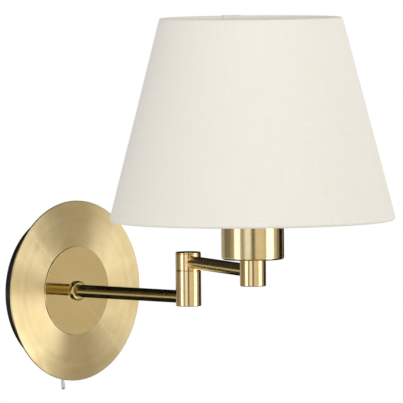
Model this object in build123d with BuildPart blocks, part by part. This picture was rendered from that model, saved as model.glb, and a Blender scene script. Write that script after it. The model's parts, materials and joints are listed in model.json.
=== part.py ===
from build123d import *
import os
from math import atan, cos, hypot, radians, sin, tan

# Swing arm wall sconce, in millimetres.
# The wall is the plane Y = 0 and the lamp stands out from it along -Y, with +Z up.
# The origin is the centre of the mounting bracket's back face.
# The rest pose has the upper arm swung a little towards -X.

os.makedirs("parts", exist_ok=True)

# ---------------------------------------------------------------- driving dimensions
HOUSING_DIA = 123.0
HOUSING_DEPTH = 16.4
HOUSING_WALL = 2.0
PLATE_DIA = 144.0
PLATE_THICK = 1.6
CENTRE_DIA = 71.0
CENTRE_THICK = 1.2
COLLAR_DIA = 15.6
COLLAR_THICK = 3.0

TUBE_DIA = 10.0
TUBE_BORE = 8.0
LOWER_REACH = 126.0
UPPER_REACH = 135.0
REST_SWING = 24.0
SWING_EACH_WAY = 100.0

KNUCKLE_DIA = 20.0
KNUCKLE_CAVITY = 15.2
LOWER_BOTTOM = -7.0
SEAM = 21.0
SEAM_GAP = 0.2
UPPER_AXIS = 27.8
UPPER_TOP = 35.6
KNUCKLE_CAP = 1.4
SPINDLE_DIA = 10.0
SPINDLE_BORE = 7.0
RUNNING_GAP = 0.05

HEAD_BOTTOM = 16.4
HEAD_TOP = 37.0
CUP_DIA = 48.0
CUP_TOP = 82.0
CUP_WALL = 0.8

SHADE_BOTTOM_DIA = 220.0
SHADE_TOP_DIA = 140.0
SHADE_BOTTOM = 66.5
SHADE_HEIGHT = 155.5
FABRIC_THICK = 0.5
LINER_THICK = 0.5
FRAME_WIRE_DIA = 3.0

BULB_DIA = 60.0
BULB_LENGTH = 104.0
BULB_TIP = 65.2

LEVER_TILT = 13.0
LEVER_REACH = 13.0
SWITCH_SIDE = 6.0

# ---------------------------------------------------------------- smaller sizes
CLEAR = 0.1
EDGE_BREAK = 0.4
FINE_BREAK = 0.25
HOUSING_EDGE = 0.8
PLATE_EDGE = 0.35
CENTRE_EDGE = 0.45
COLLAR_EDGE = 1.4
KNUCKLE_EDGE = 0.8
CAP_EDGE = 0.6
NUT_ACROSS_FLATS = 14.0
NUT_THICK = 3.0
TUBE_INSET = 7.4
LEAD_DIA = 3.6
LEAD_BEND = 5.0
CORE_DIA = 2.0

# ---------------------------------------------------------------- planes and axes
PLATE_FACE = HOUSING_DEPTH + PLATE_THICK
CENTRE_FACE = PLATE_FACE + CENTRE_THICK
FLOOR = HOUSING_DEPTH - HOUSING_WALL
ELBOW_OUT = PLATE_FACE + LOWER_REACH

swing = radians(REST_SWING)
arm_direction = Vector(-sin(swing), -cos(swing), 0)
elbow_point = Vector(0, -ELBOW_OUT, 0)
head_point = elbow_point + arm_direction * UPPER_REACH
across_arm = Vector(arm_direction.Y, -arm_direction.X, 0)

ELBOW = Plane(origin=elbow_point, x_dir=(1, 0, 0), z_dir=(0, 0, 1))
HEAD = Plane(origin=head_point, x_dir=arm_direction, z_dir=(0, 0, 1))
HEAD_SECTION = Plane(origin=head_point, x_dir=arm_direction, z_dir=across_arm)
HEAD_AXIS = Axis(head_point, (0, 0, 1))
UPPER_ARM = Plane(origin=elbow_point + Vector(0, 0, UPPER_AXIS), z_dir=arm_direction)

SHADE_TAPER = (SHADE_BOTTOM_DIA - SHADE_TOP_DIA) / 2 / SHADE_HEIGHT
SHADE_LEAN = atan(SHADE_TAPER)


def shade_radius(height):
    """Outer radius of the shade's cone at a height above the origin."""
    return SHADE_BOTTOM_DIA / 2 - (height - SHADE_BOTTOM) * SHADE_TAPER


def bend_radii(points):
    """Radius of each corner of a lead: 0.45 of its shorter run over the tangent of half its turn."""
    path = [Vector(*point) for point in points]
    radii = []
    for before, corner, after in zip(path, path[1:], path[2:]):
        turn = radians((corner - before).get_angle(after - corner))
        shorter = min((corner - before).length, (after - corner).length)
        radii.append(0.45 * shorter / tan(turn / 2))
    return radii


# ================================================================ wall plate
# Pressed steel strap that is screwed to the wall; its ends are bent up as tabs.
STRAP_HALF_LENGTH = 57.8
STRAP_WIDTH = 22.0
STRAP_THICK = 2.0
TAB_DEPTH = 12.0
WALL_SLOT_SPACING = 80.0
WALL_SLOT_LENGTH = 14.0
WALL_SLOT_WIDTH = 5.0
SIDE_SCREW_OUT = 7.5
SIDE_SCREW_DIA = 4.0
SIDE_SCREW_LENGTH = 6.0
SIDE_SCREW_SUNK = 0.3
SIDE_SCREW_SLOT = 0.7
SIDE_SCREW_SLOT_DEPTH = 1.2
BEND_INSIDE = 1.0
EARTH_X = -24.0
EARTH_SCREW_DIA = 4.0

with BuildPart() as mounting_bracket:
    with BuildSketch(Plane.XY):
        with Locations((0, -TAB_DEPTH / 2)):
            Rectangle(2 * STRAP_HALF_LENGTH, TAB_DEPTH)
        with Locations((0, -STRAP_THICK - TAB_DEPTH / 2)):
            Rectangle(2 * (STRAP_HALF_LENGTH - STRAP_THICK), TAB_DEPTH, mode=Mode.SUBTRACT)
    extrude(amount=STRAP_WIDTH / 2, both=True)
    upright = mounting_bracket.edges().filter_by(Axis.Z)
    fillet(upright.group_by(Axis.Y)[-1], STRAP_THICK + BEND_INSIDE)
    inner = mounting_bracket.edges().filter_by(Axis.Z).filter_by_position(
        Axis.Y, -STRAP_THICK - CLEAR, -STRAP_THICK + CLEAR
    )
    fillet(inner, BEND_INSIDE)
    with BuildSketch(Plane.XZ):
        with GridLocations(WALL_SLOT_SPACING, 1, 2, 1):
            SlotOverall(WALL_SLOT_LENGTH, WALL_SLOT_WIDTH)
        with Locations((EARTH_X, 0)):
            Circle(EARTH_SCREW_DIA / 2)
    extrude(amount=STRAP_THICK, mode=Mode.SUBTRACT)
    with BuildSketch(Plane.YZ):
        with Locations((-SIDE_SCREW_OUT, 0)):
            Circle(SIDE_SCREW_DIA / 2)
    extrude(amount=HOUSING_DIA, both=True, mode=Mode.SUBTRACT)
mounting_bracket.part.label = "mounting_bracket"
export_step(mounting_bracket.part, "parts/mounting_bracket.step")

# Earth terminal: a screw tapped into the strap, with a clamp washer for the wire.
EARTH_WASHER_DIA = 8.4
EARTH_WASHER_THICK = 1.6
EARTH_HEAD_DIA = 7.6
EARTH_HEAD_THICK = 2.4
EARTH_TIP_BACK = 0.2
EARTH_SLOT_WIDTH = 0.9
EARTH_SLOT_DEPTH = 1.1

with BuildPart() as earth_washer:
    with BuildSketch(Plane.XZ.offset(STRAP_THICK)):
        with Locations((EARTH_X, 0)):
            Circle(EARTH_WASHER_DIA / 2)
            Circle(EARTH_SCREW_DIA / 2, mode=Mode.SUBTRACT)
    extrude(amount=EARTH_WASHER_THICK)
earth_washer.part.label = "earth_washer"
export_step(earth_washer.part, "parts/earth_washer.step")

earth_head_from = STRAP_THICK + EARTH_WASHER_THICK
with BuildPart() as earth_screw:
    with BuildSketch(Plane.XZ.offset(EARTH_TIP_BACK)):
        with Locations((EARTH_X, 0)):
            Circle(EARTH_SCREW_DIA / 2)
    extrude(amount=earth_head_from - EARTH_TIP_BACK)
    with BuildSketch(Plane.XZ.offset(earth_head_from)):
        with Locations((EARTH_X, 0)):
            Circle(EARTH_HEAD_DIA / 2)
    extrude(amount=EARTH_HEAD_THICK)
    fillet(earth_screw.edges().group_by(Axis.Y)[0], EARTH_HEAD_THICK / 3)
    with BuildSketch(Plane.XZ.offset(earth_head_from + EARTH_HEAD_THICK)):
        with Locations((EARTH_X, 0)):
            Rectangle(EARTH_HEAD_DIA + 1, EARTH_SLOT_WIDTH, rotation=30)
    extrude(amount=-EARTH_SLOT_DEPTH, mode=Mode.SUBTRACT)
earth_screw.part.label = "earth_screw"
export_step(earth_screw.part, "parts/earth_screw.step")

# Shallow moulded housing, open at the wall, with its floor behind the brass plate.
SWITCH_OUT = 8.0
BUSH_DIA = 6.0
FIXING_X = 5.5
FIXING_Z = 33.0
FIXING_CORE = 2.5
FIXING_HEAD_DIA = 5.4
FIXING_HEAD_THICK = 2.0
FIXING_SEAT = 3.4

with BuildPart() as housing:
    with BuildSketch(Plane.XZ):
        Circle(HOUSING_DIA / 2)
    extrude(amount=HOUSING_DEPTH)
    fillet(housing.edges().group_by(Axis.Y)[-1], HOUSING_EDGE)
    with BuildSketch(Plane.XZ):
        Circle(HOUSING_DIA / 2 - HOUSING_WALL)
    extrude(amount=FLOOR, mode=Mode.SUBTRACT)
    with BuildSketch(Plane.XZ.offset(FLOOR)):
        Circle(TUBE_DIA / 2 + CLEAR)
        with Locations((FIXING_X, FIXING_Z)):
            Circle(FIXING_CORE / 2)
    extrude(amount=HOUSING_WALL, mode=Mode.SUBTRACT)
    with BuildSketch(Plane.YZ):
        with Locations((-SIDE_SCREW_OUT, 0)):
            Circle(SIDE_SCREW_DIA / 2 + CLEAR)
    extrude(amount=HOUSING_DIA, both=True, mode=Mode.SUBTRACT)
    with BuildSketch(Plane.XY.rotated((0, SWITCH_SIDE, 0)).offset(-HOUSING_DIA / 2 - 1)):
        with Locations((0, -SWITCH_OUT)):
            Circle(BUSH_DIA / 2 + CLEAR)
    extrude(amount=HOUSING_WALL + 3, mode=Mode.SUBTRACT)
housing.part.label = "housing"
export_step(housing.part, "parts/housing.step")

# Two slotted grub screws hold the housing to the bracket's tabs, one on each side.
side_screw_end = HOUSING_DIA / 2 - SIDE_SCREW_SUNK
with BuildPart() as side_screws:
    for side in (-1, 1):
        tip = Plane(origin=(side * side_screw_end, -SIDE_SCREW_OUT, 0), z_dir=(side, 0, 0))
        with BuildSketch(tip):
            Circle(SIDE_SCREW_DIA / 2)
        extrude(amount=-SIDE_SCREW_LENGTH)
        with BuildSketch(tip):
            Rectangle(SIDE_SCREW_DIA + 1, SIDE_SCREW_SLOT, rotation=25)
        extrude(amount=-SIDE_SCREW_SLOT_DEPTH, mode=Mode.SUBTRACT)
side_screws.part.label = "side_screws"
export_step(side_screws.part, "parts/side_screws.step")

# Brass wall plate, and the smaller polished plate in front of it.
with BuildPart() as front_plate:
    with BuildSketch(Plane.XZ.offset(HOUSING_DEPTH)):
        Circle(PLATE_DIA / 2)
    extrude(amount=PLATE_THICK)
    rim = front_plate.edges().filter_by(GeomType.CIRCLE)
    fillet(rim, PLATE_EDGE)
    with BuildSketch(Plane.XZ.offset(HOUSING_DEPTH)):
        Circle(TUBE_DIA / 2 + CLEAR)
    extrude(amount=PLATE_THICK, mode=Mode.SUBTRACT)
front_plate.part.label = "front_plate"
export_step(front_plate.part, "parts/front_plate.step")

with BuildPart() as centre_plate:
    with BuildSketch(Plane.XZ.offset(PLATE_FACE)):
        Circle(CENTRE_DIA / 2)
    extrude(amount=CENTRE_THICK)
    chamfer(centre_plate.edges().group_by(Axis.Y)[0], CENTRE_EDGE)
    with BuildSketch(Plane.XZ.offset(PLATE_FACE)):
        Circle(TUBE_DIA / 2 + CLEAR)
    extrude(amount=CENTRE_THICK, mode=Mode.SUBTRACT)
centre_plate.part.label = "centre_plate"
export_step(centre_plate.part, "parts/centre_plate.step")

# Rounded collar that is threaded on the tube and clamps both plates to the housing.
with BuildPart() as arm_collar:
    with BuildSketch(Plane.XZ.offset(CENTRE_FACE)):
        Circle(COLLAR_DIA / 2)
    extrude(amount=COLLAR_THICK)
    fillet(arm_collar.edges().group_by(Axis.Y)[0], COLLAR_EDGE)
    with BuildSketch(Plane.XZ.offset(CENTRE_FACE)):
        Circle(TUBE_DIA / 2)
    extrude(amount=COLLAR_THICK, mode=Mode.SUBTRACT)
arm_collar.part.label = "arm_collar"
export_step(arm_collar.part, "parts/arm_collar.step")

LOCK_WASHER_THICK = 0.8
LOCK_WASHER_DIA = 17.0
LOCK_TEETH = 12
LOCK_NOTCH_DEEP = 1.2
LOCK_NOTCH_WIDE = 1.1
with BuildPart() as wall_lock_washer:
    with BuildSketch(Plane.XZ.offset(FLOOR - LOCK_WASHER_THICK)):
        Circle(LOCK_WASHER_DIA / 2)
        Circle(TUBE_DIA / 2 + CLEAR, mode=Mode.SUBTRACT)
        with PolarLocations(LOCK_WASHER_DIA / 2, LOCK_TEETH):
            Rectangle(2 * LOCK_NOTCH_DEEP, LOCK_NOTCH_WIDE, mode=Mode.SUBTRACT)
    extrude(amount=LOCK_WASHER_THICK)
wall_lock_washer.part.label = "wall_lock_washer"
export_step(wall_lock_washer.part, "parts/wall_lock_washer.step")

wall_nut_from = FLOOR - LOCK_WASHER_THICK - NUT_THICK
with BuildPart() as wall_nut:
    with BuildSketch(Plane.XZ.offset(wall_nut_from)):
        RegularPolygon(NUT_ACROSS_FLATS / 2, 6, major_radius=False)
        Circle(TUBE_DIA / 2, mode=Mode.SUBTRACT)
    extrude(amount=NUT_THICK)
wall_nut.part.label = "wall_nut"
export_step(wall_nut.part, "parts/wall_nut.step")

# ================================================================ terminal block
# Three-pole block on the housing floor, above the centre nut.
POLE_PITCH = 11.0
BLOCK_WIDTH = 34.0
BLOCK_BOTTOM = 24.5
BLOCK_HEIGHT = 17.0
BLOCK_BACK = 3.4
TOWER_BACK = 2.4
POLE_OUT = 7.0
POLE_HOLE = 4.4
INSERT_BORE = 3.2
TERMINAL_SCREW_DIA = 3.0
SCREW_ROW_OFFSET = 4.5
BLOCK_CORNER = 1.5
TOWER_RADIUS = 3.2
INSERT_SHORT = 1.0

block_middle = BLOCK_BOTTOM + BLOCK_HEIGHT / 2
with BuildPart() as terminal_block:
    with BuildSketch(Plane.XZ.offset(BLOCK_BACK)):
        with Locations((0, block_middle)):
            RectangleRounded(BLOCK_WIDTH, BLOCK_HEIGHT, BLOCK_CORNER)
    extrude(amount=FLOOR - BLOCK_BACK)
    with BuildSketch(Plane.XZ.offset(TOWER_BACK)):
        with Locations((0, block_middle)):
            with GridLocations(POLE_PITCH, 2 * SCREW_ROW_OFFSET, 3, 2):
                Circle(TOWER_RADIUS)
    extrude(amount=2 * (BLOCK_BACK - TOWER_BACK))
    with BuildSketch(Plane.XZ.offset(TOWER_BACK)):
        with Locations((0, block_middle)):
            with GridLocations(POLE_PITCH, 2 * SCREW_ROW_OFFSET, 3, 2):
                Circle(TERMINAL_SCREW_DIA / 2 + CLEAR)
    extrude(amount=POLE_OUT - TOWER_BACK, mode=Mode.SUBTRACT)
    with BuildSketch(Plane.XY.offset(BLOCK_BOTTOM)):
        with Locations((0, -POLE_OUT)):
            with GridLocations(POLE_PITCH, 1, 3, 1):
                Circle(POLE_HOLE / 2)
    extrude(amount=BLOCK_HEIGHT, mode=Mode.SUBTRACT)
    with BuildSketch(Plane.XZ.offset(BLOCK_BACK)):
        with Locations((FIXING_X, FIXING_Z)):
            Circle(FIXING_CORE / 2 + 3 * CLEAR)
    extrude(amount=FLOOR - BLOCK_BACK, mode=Mode.SUBTRACT)
    with BuildSketch(Plane.XZ.offset(BLOCK_BACK)):
        with Locations((FIXING_X, FIXING_Z)):
            Circle(FIXING_HEAD_DIA / 2 + 3 * CLEAR)
    extrude(amount=FLOOR - BLOCK_BACK - FIXING_SEAT, mode=Mode.SUBTRACT)
terminal_block.part.label = "terminal_block"
export_step(terminal_block.part, "parts/terminal_block.step")

with BuildPart() as terminal_inserts:
    with BuildSketch(Plane.XY.offset(BLOCK_BOTTOM + INSERT_SHORT)):
        with Locations((0, -POLE_OUT)):
            with GridLocations(POLE_PITCH, 1, 3, 1):
                Circle(POLE_HOLE / 2)
                Circle(INSERT_BORE / 2, mode=Mode.SUBTRACT)
    extrude(amount=BLOCK_HEIGHT - 2 * INSERT_SHORT)
terminal_inserts.part.label = "terminal_inserts"
export_step(terminal_inserts.part, "parts/terminal_inserts.step")

TERMINAL_SCREW_SUNK = 0.3
TERMINAL_SLOT_WIDTH = 0.6
TERMINAL_SLOT_DEPTH = 0.8
terminal_screw_from = TOWER_BACK + TERMINAL_SCREW_SUNK
terminal_screw_to = POLE_OUT - POLE_HOLE / 2 - CLEAR
with BuildPart() as terminal_screws:
    with BuildSketch(Plane.XZ.offset(terminal_screw_from)):
        with Locations((0, block_middle)):
            with GridLocations(POLE_PITCH, 2 * SCREW_ROW_OFFSET, 3, 2):
                Circle(TERMINAL_SCREW_DIA / 2)
    extrude(amount=terminal_screw_to - terminal_screw_from)
    with BuildSketch(Plane.XZ.offset(terminal_screw_from)):
        with Locations((0, block_middle)):
            with GridLocations(POLE_PITCH, 2 * SCREW_ROW_OFFSET, 3, 2):
                Rectangle(TERMINAL_SCREW_DIA + 1, TERMINAL_SLOT_WIDTH)
    extrude(amount=TERMINAL_SLOT_DEPTH, mode=Mode.SUBTRACT)
terminal_screws.part.label = "terminal_screws"
export_step(terminal_screws.part, "parts/terminal_screws.step")

FIXING_SLOT_WIDTH = 0.8
FIXING_SLOT_DEPTH = 1.0
FIXING_TIP_SHORT = 0.3
fixing_neck = FLOOR - FIXING_SEAT
fixing_head_from = fixing_neck - FIXING_HEAD_THICK
with BuildPart() as block_fixing_screw:
    with BuildSketch(Plane.XZ.offset(fixing_head_from)):
        with Locations((FIXING_X, FIXING_Z)):
            Circle(FIXING_HEAD_DIA / 2)
    extrude(amount=FIXING_HEAD_THICK)
    fillet(block_fixing_screw.edges().group_by(Axis.Y)[-1], FIXING_HEAD_THICK / 3)
    with BuildSketch(Plane.XZ.offset(fixing_neck)):
        with Locations((FIXING_X, FIXING_Z)):
            Circle(FIXING_CORE / 2)
    extrude(amount=HOUSING_DEPTH - FIXING_TIP_SHORT - fixing_neck)
    with BuildSketch(Plane.XZ.offset(fixing_head_from)):
        with Locations((FIXING_X, FIXING_Z)):
            Rectangle(FIXING_HEAD_DIA + 1, FIXING_SLOT_WIDTH, rotation=-40)
    extrude(amount=FIXING_SLOT_DEPTH, mode=Mode.SUBTRACT)
block_fixing_screw.part.label = "block_fixing_screw"
export_step(block_fixing_screw.part, "parts/block_fixing_screw.step")

# ================================================================ toggle switch
# Miniature toggle switch that stands radially in the bottom of the housing, a little to -X.
# It is drawn on the vertical through the axis, and then turned about the housing's axis.
SWITCH_TURN = Rot(0, SWITCH_SIDE, 0)
SWITCH_WIDTH = 13.0
SWITCH_THICK = 8.0
SWITCH_TALL = 10.0
SWITCH_CORNER = 0.8
SWITCH_RECESS = 2.0
SWITCH_SET_IN = 0.6
BUSH_PROUD = 7.5
BUSH_BORE = 4.1
SWITCH_NUT_THICK = 2.0
SWITCH_NUT_FLATS = 8.0
PIVOT_INSIDE = 2.2
switch_face = HOUSING_WALL + SWITCH_SET_IN - HOUSING_DIA / 2
bush_end = -HOUSING_DIA / 2 - BUSH_PROUD
pivot_z = bush_end + PIVOT_INSIDE
ball_radius = BUSH_BORE / 2 - RUNNING_GAP

with BuildPart() as switch_body:
    with BuildSketch(Plane.XY.offset(switch_face)):
        with Locations((0, -SWITCH_OUT)):
            RectangleRounded(SWITCH_WIDTH, SWITCH_THICK, SWITCH_CORNER)
    extrude(amount=SWITCH_TALL)
    with BuildSketch(Plane.XY.offset(switch_face)):
        with Locations((0, -SWITCH_OUT)):
            Circle(BUSH_BORE / 2)
    extrude(amount=SWITCH_RECESS, mode=Mode.SUBTRACT)
set_switch_body = SWITCH_TURN * switch_body.part
set_switch_body.label = "switch_body"
export_step(set_switch_body, "parts/switch_body.step")

TAG_PITCH = 4.7
TAG_WIDE = 2.0
TAG_THICK = 0.8
TAG_TALL = 4.0
with BuildPart() as switch_tags:
    with BuildSketch(Plane.XY.offset(switch_face + SWITCH_TALL)):
        with Locations((0, -SWITCH_OUT)):
            with GridLocations(TAG_PITCH, 1, 3, 1):
                Rectangle(TAG_THICK, TAG_WIDE)
    extrude(amount=TAG_TALL)
set_switch_tags = SWITCH_TURN * switch_tags.part
set_switch_tags.label = "switch_tags"
export_step(set_switch_tags, "parts/switch_tags.step")

with BuildPart() as switch_bush:
    with BuildSketch(Plane.XY.offset(switch_face)):
        with Locations((0, -SWITCH_OUT)):
            Circle(BUSH_DIA / 2)
    extrude(amount=bush_end - switch_face)
    chamfer(switch_bush.edges().group_by(Axis.Z)[0], EDGE_BREAK)
    with BuildSketch(Plane.XY.offset(switch_face)):
        with Locations((0, -SWITCH_OUT)):
            Circle(BUSH_BORE / 2)
    extrude(amount=bush_end - switch_face, mode=Mode.SUBTRACT)
    chamfer(switch_bush.edges().group_by(Axis.Z)[0].sort_by(SortBy.LENGTH)[0], FINE_BREAK)
set_switch_bush = SWITCH_TURN * switch_bush.part
set_switch_bush.label = "switch_bush"
export_step(set_switch_bush, "parts/switch_bush.step")

with BuildPart() as switch_nut:
    with BuildSketch(Plane.XY.offset(-HOUSING_DIA / 2)):
        with Locations((0, -SWITCH_OUT)):
            RegularPolygon(SWITCH_NUT_FLATS / 2, 6, major_radius=False)
            Circle(BUSH_DIA / 2, mode=Mode.SUBTRACT)
    extrude(amount=-SWITCH_NUT_THICK)
set_switch_nut = SWITCH_TURN * switch_nut.part
set_switch_nut.label = "switch_nut"
export_step(set_switch_nut, "parts/switch_nut.step")

# Lever with its pivot ball, leaning towards +X at rest.
tilt = radians(LEVER_TILT)
lever_direction = Vector(sin(tilt), 0, -cos(tilt))
LEVER = Plane(origin=(0, -SWITCH_OUT, pivot_z), x_dir=(cos(tilt), 0, sin(tilt)), z_dir=(0, -1, 0))
LEVER_AXIS = Axis((0, -SWITCH_OUT, pivot_z), lever_direction)
LEVER_NECK = 1.05
LEVER_TIP = 1.45
STEM_RADIUS = 0.8
STEM_LENGTH = 3.6
with BuildPart() as toggle_lever:
    with BuildSketch(LEVER):
        with BuildLine():
            Polyline((0, STEM_LENGTH), (STEM_RADIUS, STEM_LENGTH), (STEM_RADIUS, 0), (LEVER_NECK, 0))
            Line((LEVER_NECK, 0), (LEVER_TIP, LEVER_TIP - LEVER_REACH))
            ThreePointArc(
                (LEVER_TIP, LEVER_TIP - LEVER_REACH),
                (LEVER_TIP * sin(radians(45)), LEVER_TIP - LEVER_REACH - LEVER_TIP * cos(radians(45))),
                (0, -LEVER_REACH),
            )
            Line((0, -LEVER_REACH), (0, STEM_LENGTH))
        make_face()
    revolve(axis=LEVER_AXIS)
    with Locations((0, -SWITCH_OUT, pivot_z)):
        Sphere(ball_radius)
set_toggle_lever = SWITCH_TURN * toggle_lever.part
set_toggle_lever.label = "toggle_lever"
export_step(set_toggle_lever, "parts/toggle_lever.step")

# ================================================================ lower arm and elbow
TUBE_PAST_NUT = 0.8
tube_back = wall_nut_from - TUBE_PAST_NUT
with BuildPart() as arm_tube_lower:
    with BuildSketch(Plane.XZ.offset(tube_back)):
        Circle(TUBE_DIA / 2)
        Circle(TUBE_BORE / 2, mode=Mode.SUBTRACT)
    extrude(amount=ELBOW_OUT - TUBE_INSET - tube_back)
arm_tube_lower.part.label = "arm_tube_lower"
export_step(arm_tube_lower.part, "parts/arm_tube_lower.step")

# Lower knuckle: hollow below, with the bearing for the spindle in its upper half.
BEARING_FROM = 10.0
THRUST_DIA = 12.6
THRUST_SINK = 0.3
THRUST_SLACK = 0.02
STOP_RADIUS = 7.6
STOP_PIN_DIA = 2.0
STOP_PIN_FROM = 16.0
STOP_PIN_RISE = 1.0
STOP_DIRECTION = 90.0
BOTTOM_CAP_THICK = 1.2
BOTTOM_CAP_SUNK = 0.2
SOCKET_PAST_WALL = 5.5

with BuildPart() as elbow_lower:
    with BuildSketch(ELBOW.offset(LOWER_BOTTOM)):
        Circle(KNUCKLE_DIA / 2)
    extrude(amount=SEAM - LOWER_BOTTOM)
    chamfer(elbow_lower.edges().group_by(Axis.Z)[-1], EDGE_BREAK)
    fillet(elbow_lower.edges().group_by(Axis.Z)[0], KNUCKLE_EDGE)
    with BuildSketch(ELBOW.offset(LOWER_BOTTOM)):
        Circle(KNUCKLE_CAVITY / 2)
    extrude(amount=BEARING_FROM - LOWER_BOTTOM, mode=Mode.SUBTRACT)
    with BuildSketch(ELBOW.offset(BEARING_FROM)):
        Circle(SPINDLE_DIA / 2 + RUNNING_GAP)
    extrude(amount=SEAM - BEARING_FROM, mode=Mode.SUBTRACT)
    with BuildSketch(ELBOW.offset(SEAM - THRUST_SINK)):
        Circle(THRUST_DIA / 2)
    extrude(amount=THRUST_SINK, mode=Mode.SUBTRACT)
    with BuildSketch(ELBOW.offset(STOP_PIN_FROM)):
        with PolarLocations(STOP_RADIUS, 1, start_angle=STOP_DIRECTION):
            Circle(STOP_PIN_DIA / 2)
    extrude(amount=SEAM - STOP_PIN_FROM, mode=Mode.SUBTRACT)
    with BuildSketch(Plane.XZ.offset(ELBOW_OUT - KNUCKLE_DIA)):
        Circle(TUBE_DIA / 2)
    extrude(amount=KNUCKLE_DIA - SOCKET_PAST_WALL, mode=Mode.SUBTRACT)
elbow_lower.part.label = "elbow_lower"
export_step(elbow_lower.part, "parts/elbow_lower.step")

with BuildPart() as elbow_bottom_cap:
    with BuildSketch(ELBOW.offset(LOWER_BOTTOM + BOTTOM_CAP_SUNK)):
        Circle(KNUCKLE_CAVITY / 2)
    extrude(amount=BOTTOM_CAP_THICK)
    chamfer(elbow_bottom_cap.edges().group_by(Axis.Z)[0], FINE_BREAK)
elbow_bottom_cap.part.label = "elbow_bottom_cap"
export_step(elbow_bottom_cap.part, "parts/elbow_bottom_cap.step")

with BuildPart() as stop_pin:
    with BuildSketch(ELBOW.offset(STOP_PIN_FROM)):
        with PolarLocations(STOP_RADIUS, 1, start_angle=STOP_DIRECTION):
            Circle(STOP_PIN_DIA / 2)
    extrude(amount=SEAM + STOP_PIN_RISE - STOP_PIN_FROM)
    chamfer(stop_pin.edges().group_by(Axis.Z)[-1], FINE_BREAK)
stop_pin.part.label = "stop_pin"
export_step(stop_pin.part, "parts/stop_pin.step")

with BuildPart() as thrust_washer:
    with BuildSketch(ELBOW.offset(SEAM - THRUST_SINK)):
        Circle(THRUST_DIA / 2 - CLEAR)
        Circle(SPINDLE_DIA / 2 + CLEAR, mode=Mode.SUBTRACT)
    extrude(amount=THRUST_SINK + SEAM_GAP - THRUST_SLACK)
thrust_washer.part.label = "thrust_washer"
export_step(thrust_washer.part, "parts/thrust_washer.step")

# Upper knuckle: its floor carries the spindle, and a groove under it takes the stop pin.
UPPER_BOTTOM = SEAM + SEAM_GAP
UPPER_FLOOR = 24.0
GROOVE_WIDTH = 2.4
GROOVE_DEPTH = 1.3
GROOVE_SPARE = 0.5
CAP_PLUG = 1.2
cap_from = UPPER_TOP - KNUCKLE_CAP
swing_to_plus = SWING_EACH_WAY + REST_SWING
groove_start = STOP_DIRECTION - swing_to_plus - GROOVE_SPARE
groove_sweep = 2 * (SWING_EACH_WAY + GROOVE_SPARE)

with BuildLine() as groove_path:
    CenterArc((0, 0), STOP_RADIUS, groove_start, groove_sweep)

with BuildPart() as elbow_upper:
    with BuildSketch(ELBOW.offset(UPPER_BOTTOM)):
        Circle(KNUCKLE_DIA / 2)
    extrude(amount=cap_from - UPPER_BOTTOM)
    chamfer(elbow_upper.edges().filter_by(GeomType.CIRCLE), EDGE_BREAK)
    with BuildSketch(ELBOW.offset(UPPER_FLOOR)):
        Circle(KNUCKLE_CAVITY / 2)
    extrude(amount=cap_from - UPPER_FLOOR, mode=Mode.SUBTRACT)
    with BuildSketch(ELBOW.offset(UPPER_BOTTOM)):
        Circle(SPINDLE_DIA / 2)
    extrude(amount=UPPER_FLOOR - UPPER_BOTTOM, mode=Mode.SUBTRACT)
    with BuildSketch(ELBOW.offset(UPPER_BOTTOM)):
        SlotArc(groove_path.edge(), GROOVE_WIDTH)
    extrude(amount=GROOVE_DEPTH, mode=Mode.SUBTRACT)
    with BuildSketch(UPPER_ARM.offset(SOCKET_PAST_WALL)):
        Circle(TUBE_DIA / 2)
    extrude(amount=KNUCKLE_DIA, mode=Mode.SUBTRACT)
elbow_upper.part.label = "elbow_upper"
export_step(elbow_upper.part, "parts/elbow_upper.step")

with BuildPart() as elbow_top_cap:
    with BuildSketch(ELBOW.offset(cap_from)):
        Circle(KNUCKLE_DIA / 2)
    extrude(amount=KNUCKLE_CAP)
    chamfer(elbow_top_cap.edges().group_by(Axis.Z)[-1], CAP_EDGE)
    chamfer(elbow_top_cap.edges().group_by(Axis.Z)[0], FINE_BREAK)
    with BuildSketch(ELBOW.offset(cap_from)):
        Circle(KNUCKLE_CAVITY / 2)
    extrude(amount=-CAP_PLUG)
elbow_top_cap.part.label = "elbow_top_cap"
export_step(elbow_top_cap.part, "parts/elbow_top_cap.step")

# Hollow spindle, screwed into the upper knuckle and held under the bearing by a nut.
SPINDLE_FROM = 5.6
SPRING_WASHER_DIA = 13.6
SPRING_WASHER_THICK = 0.8
SPANNER_SLOT = 2.0
spring_washer_top = BEARING_FROM - RUNNING_GAP
elbow_nut_top = spring_washer_top - SPRING_WASHER_THICK

with BuildPart() as elbow_spindle:
    with BuildSketch(ELBOW.offset(SPINDLE_FROM)):
        Circle(SPINDLE_DIA / 2)
        Circle(SPINDLE_BORE / 2, mode=Mode.SUBTRACT)
    extrude(amount=UPPER_FLOOR - SPINDLE_FROM)
elbow_spindle.part.label = "elbow_spindle"
export_step(elbow_spindle.part, "parts/elbow_spindle.step")

with BuildPart() as elbow_spring_washer:
    with BuildSketch(ELBOW.offset(elbow_nut_top)):
        Circle(SPRING_WASHER_DIA / 2)
        Circle(SPINDLE_DIA / 2, mode=Mode.SUBTRACT)
    extrude(amount=SPRING_WASHER_THICK)
elbow_spring_washer.part.label = "elbow_spring_washer"
export_step(elbow_spring_washer.part, "parts/elbow_spring_washer.step")

with BuildPart() as elbow_nut:
    with BuildSketch(ELBOW.offset(elbow_nut_top - NUT_THICK)):
        Circle(SPRING_WASHER_DIA / 2)
        Circle(SPINDLE_DIA / 2, mode=Mode.SUBTRACT)
        with PolarLocations(SPRING_WASHER_DIA / 2, 4):
            Rectangle(SPANNER_SLOT, SPANNER_SLOT, mode=Mode.SUBTRACT)
    extrude(amount=NUT_THICK)
elbow_nut.part.label = "elbow_nut"
export_step(elbow_nut.part, "parts/elbow_nut.step")

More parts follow.
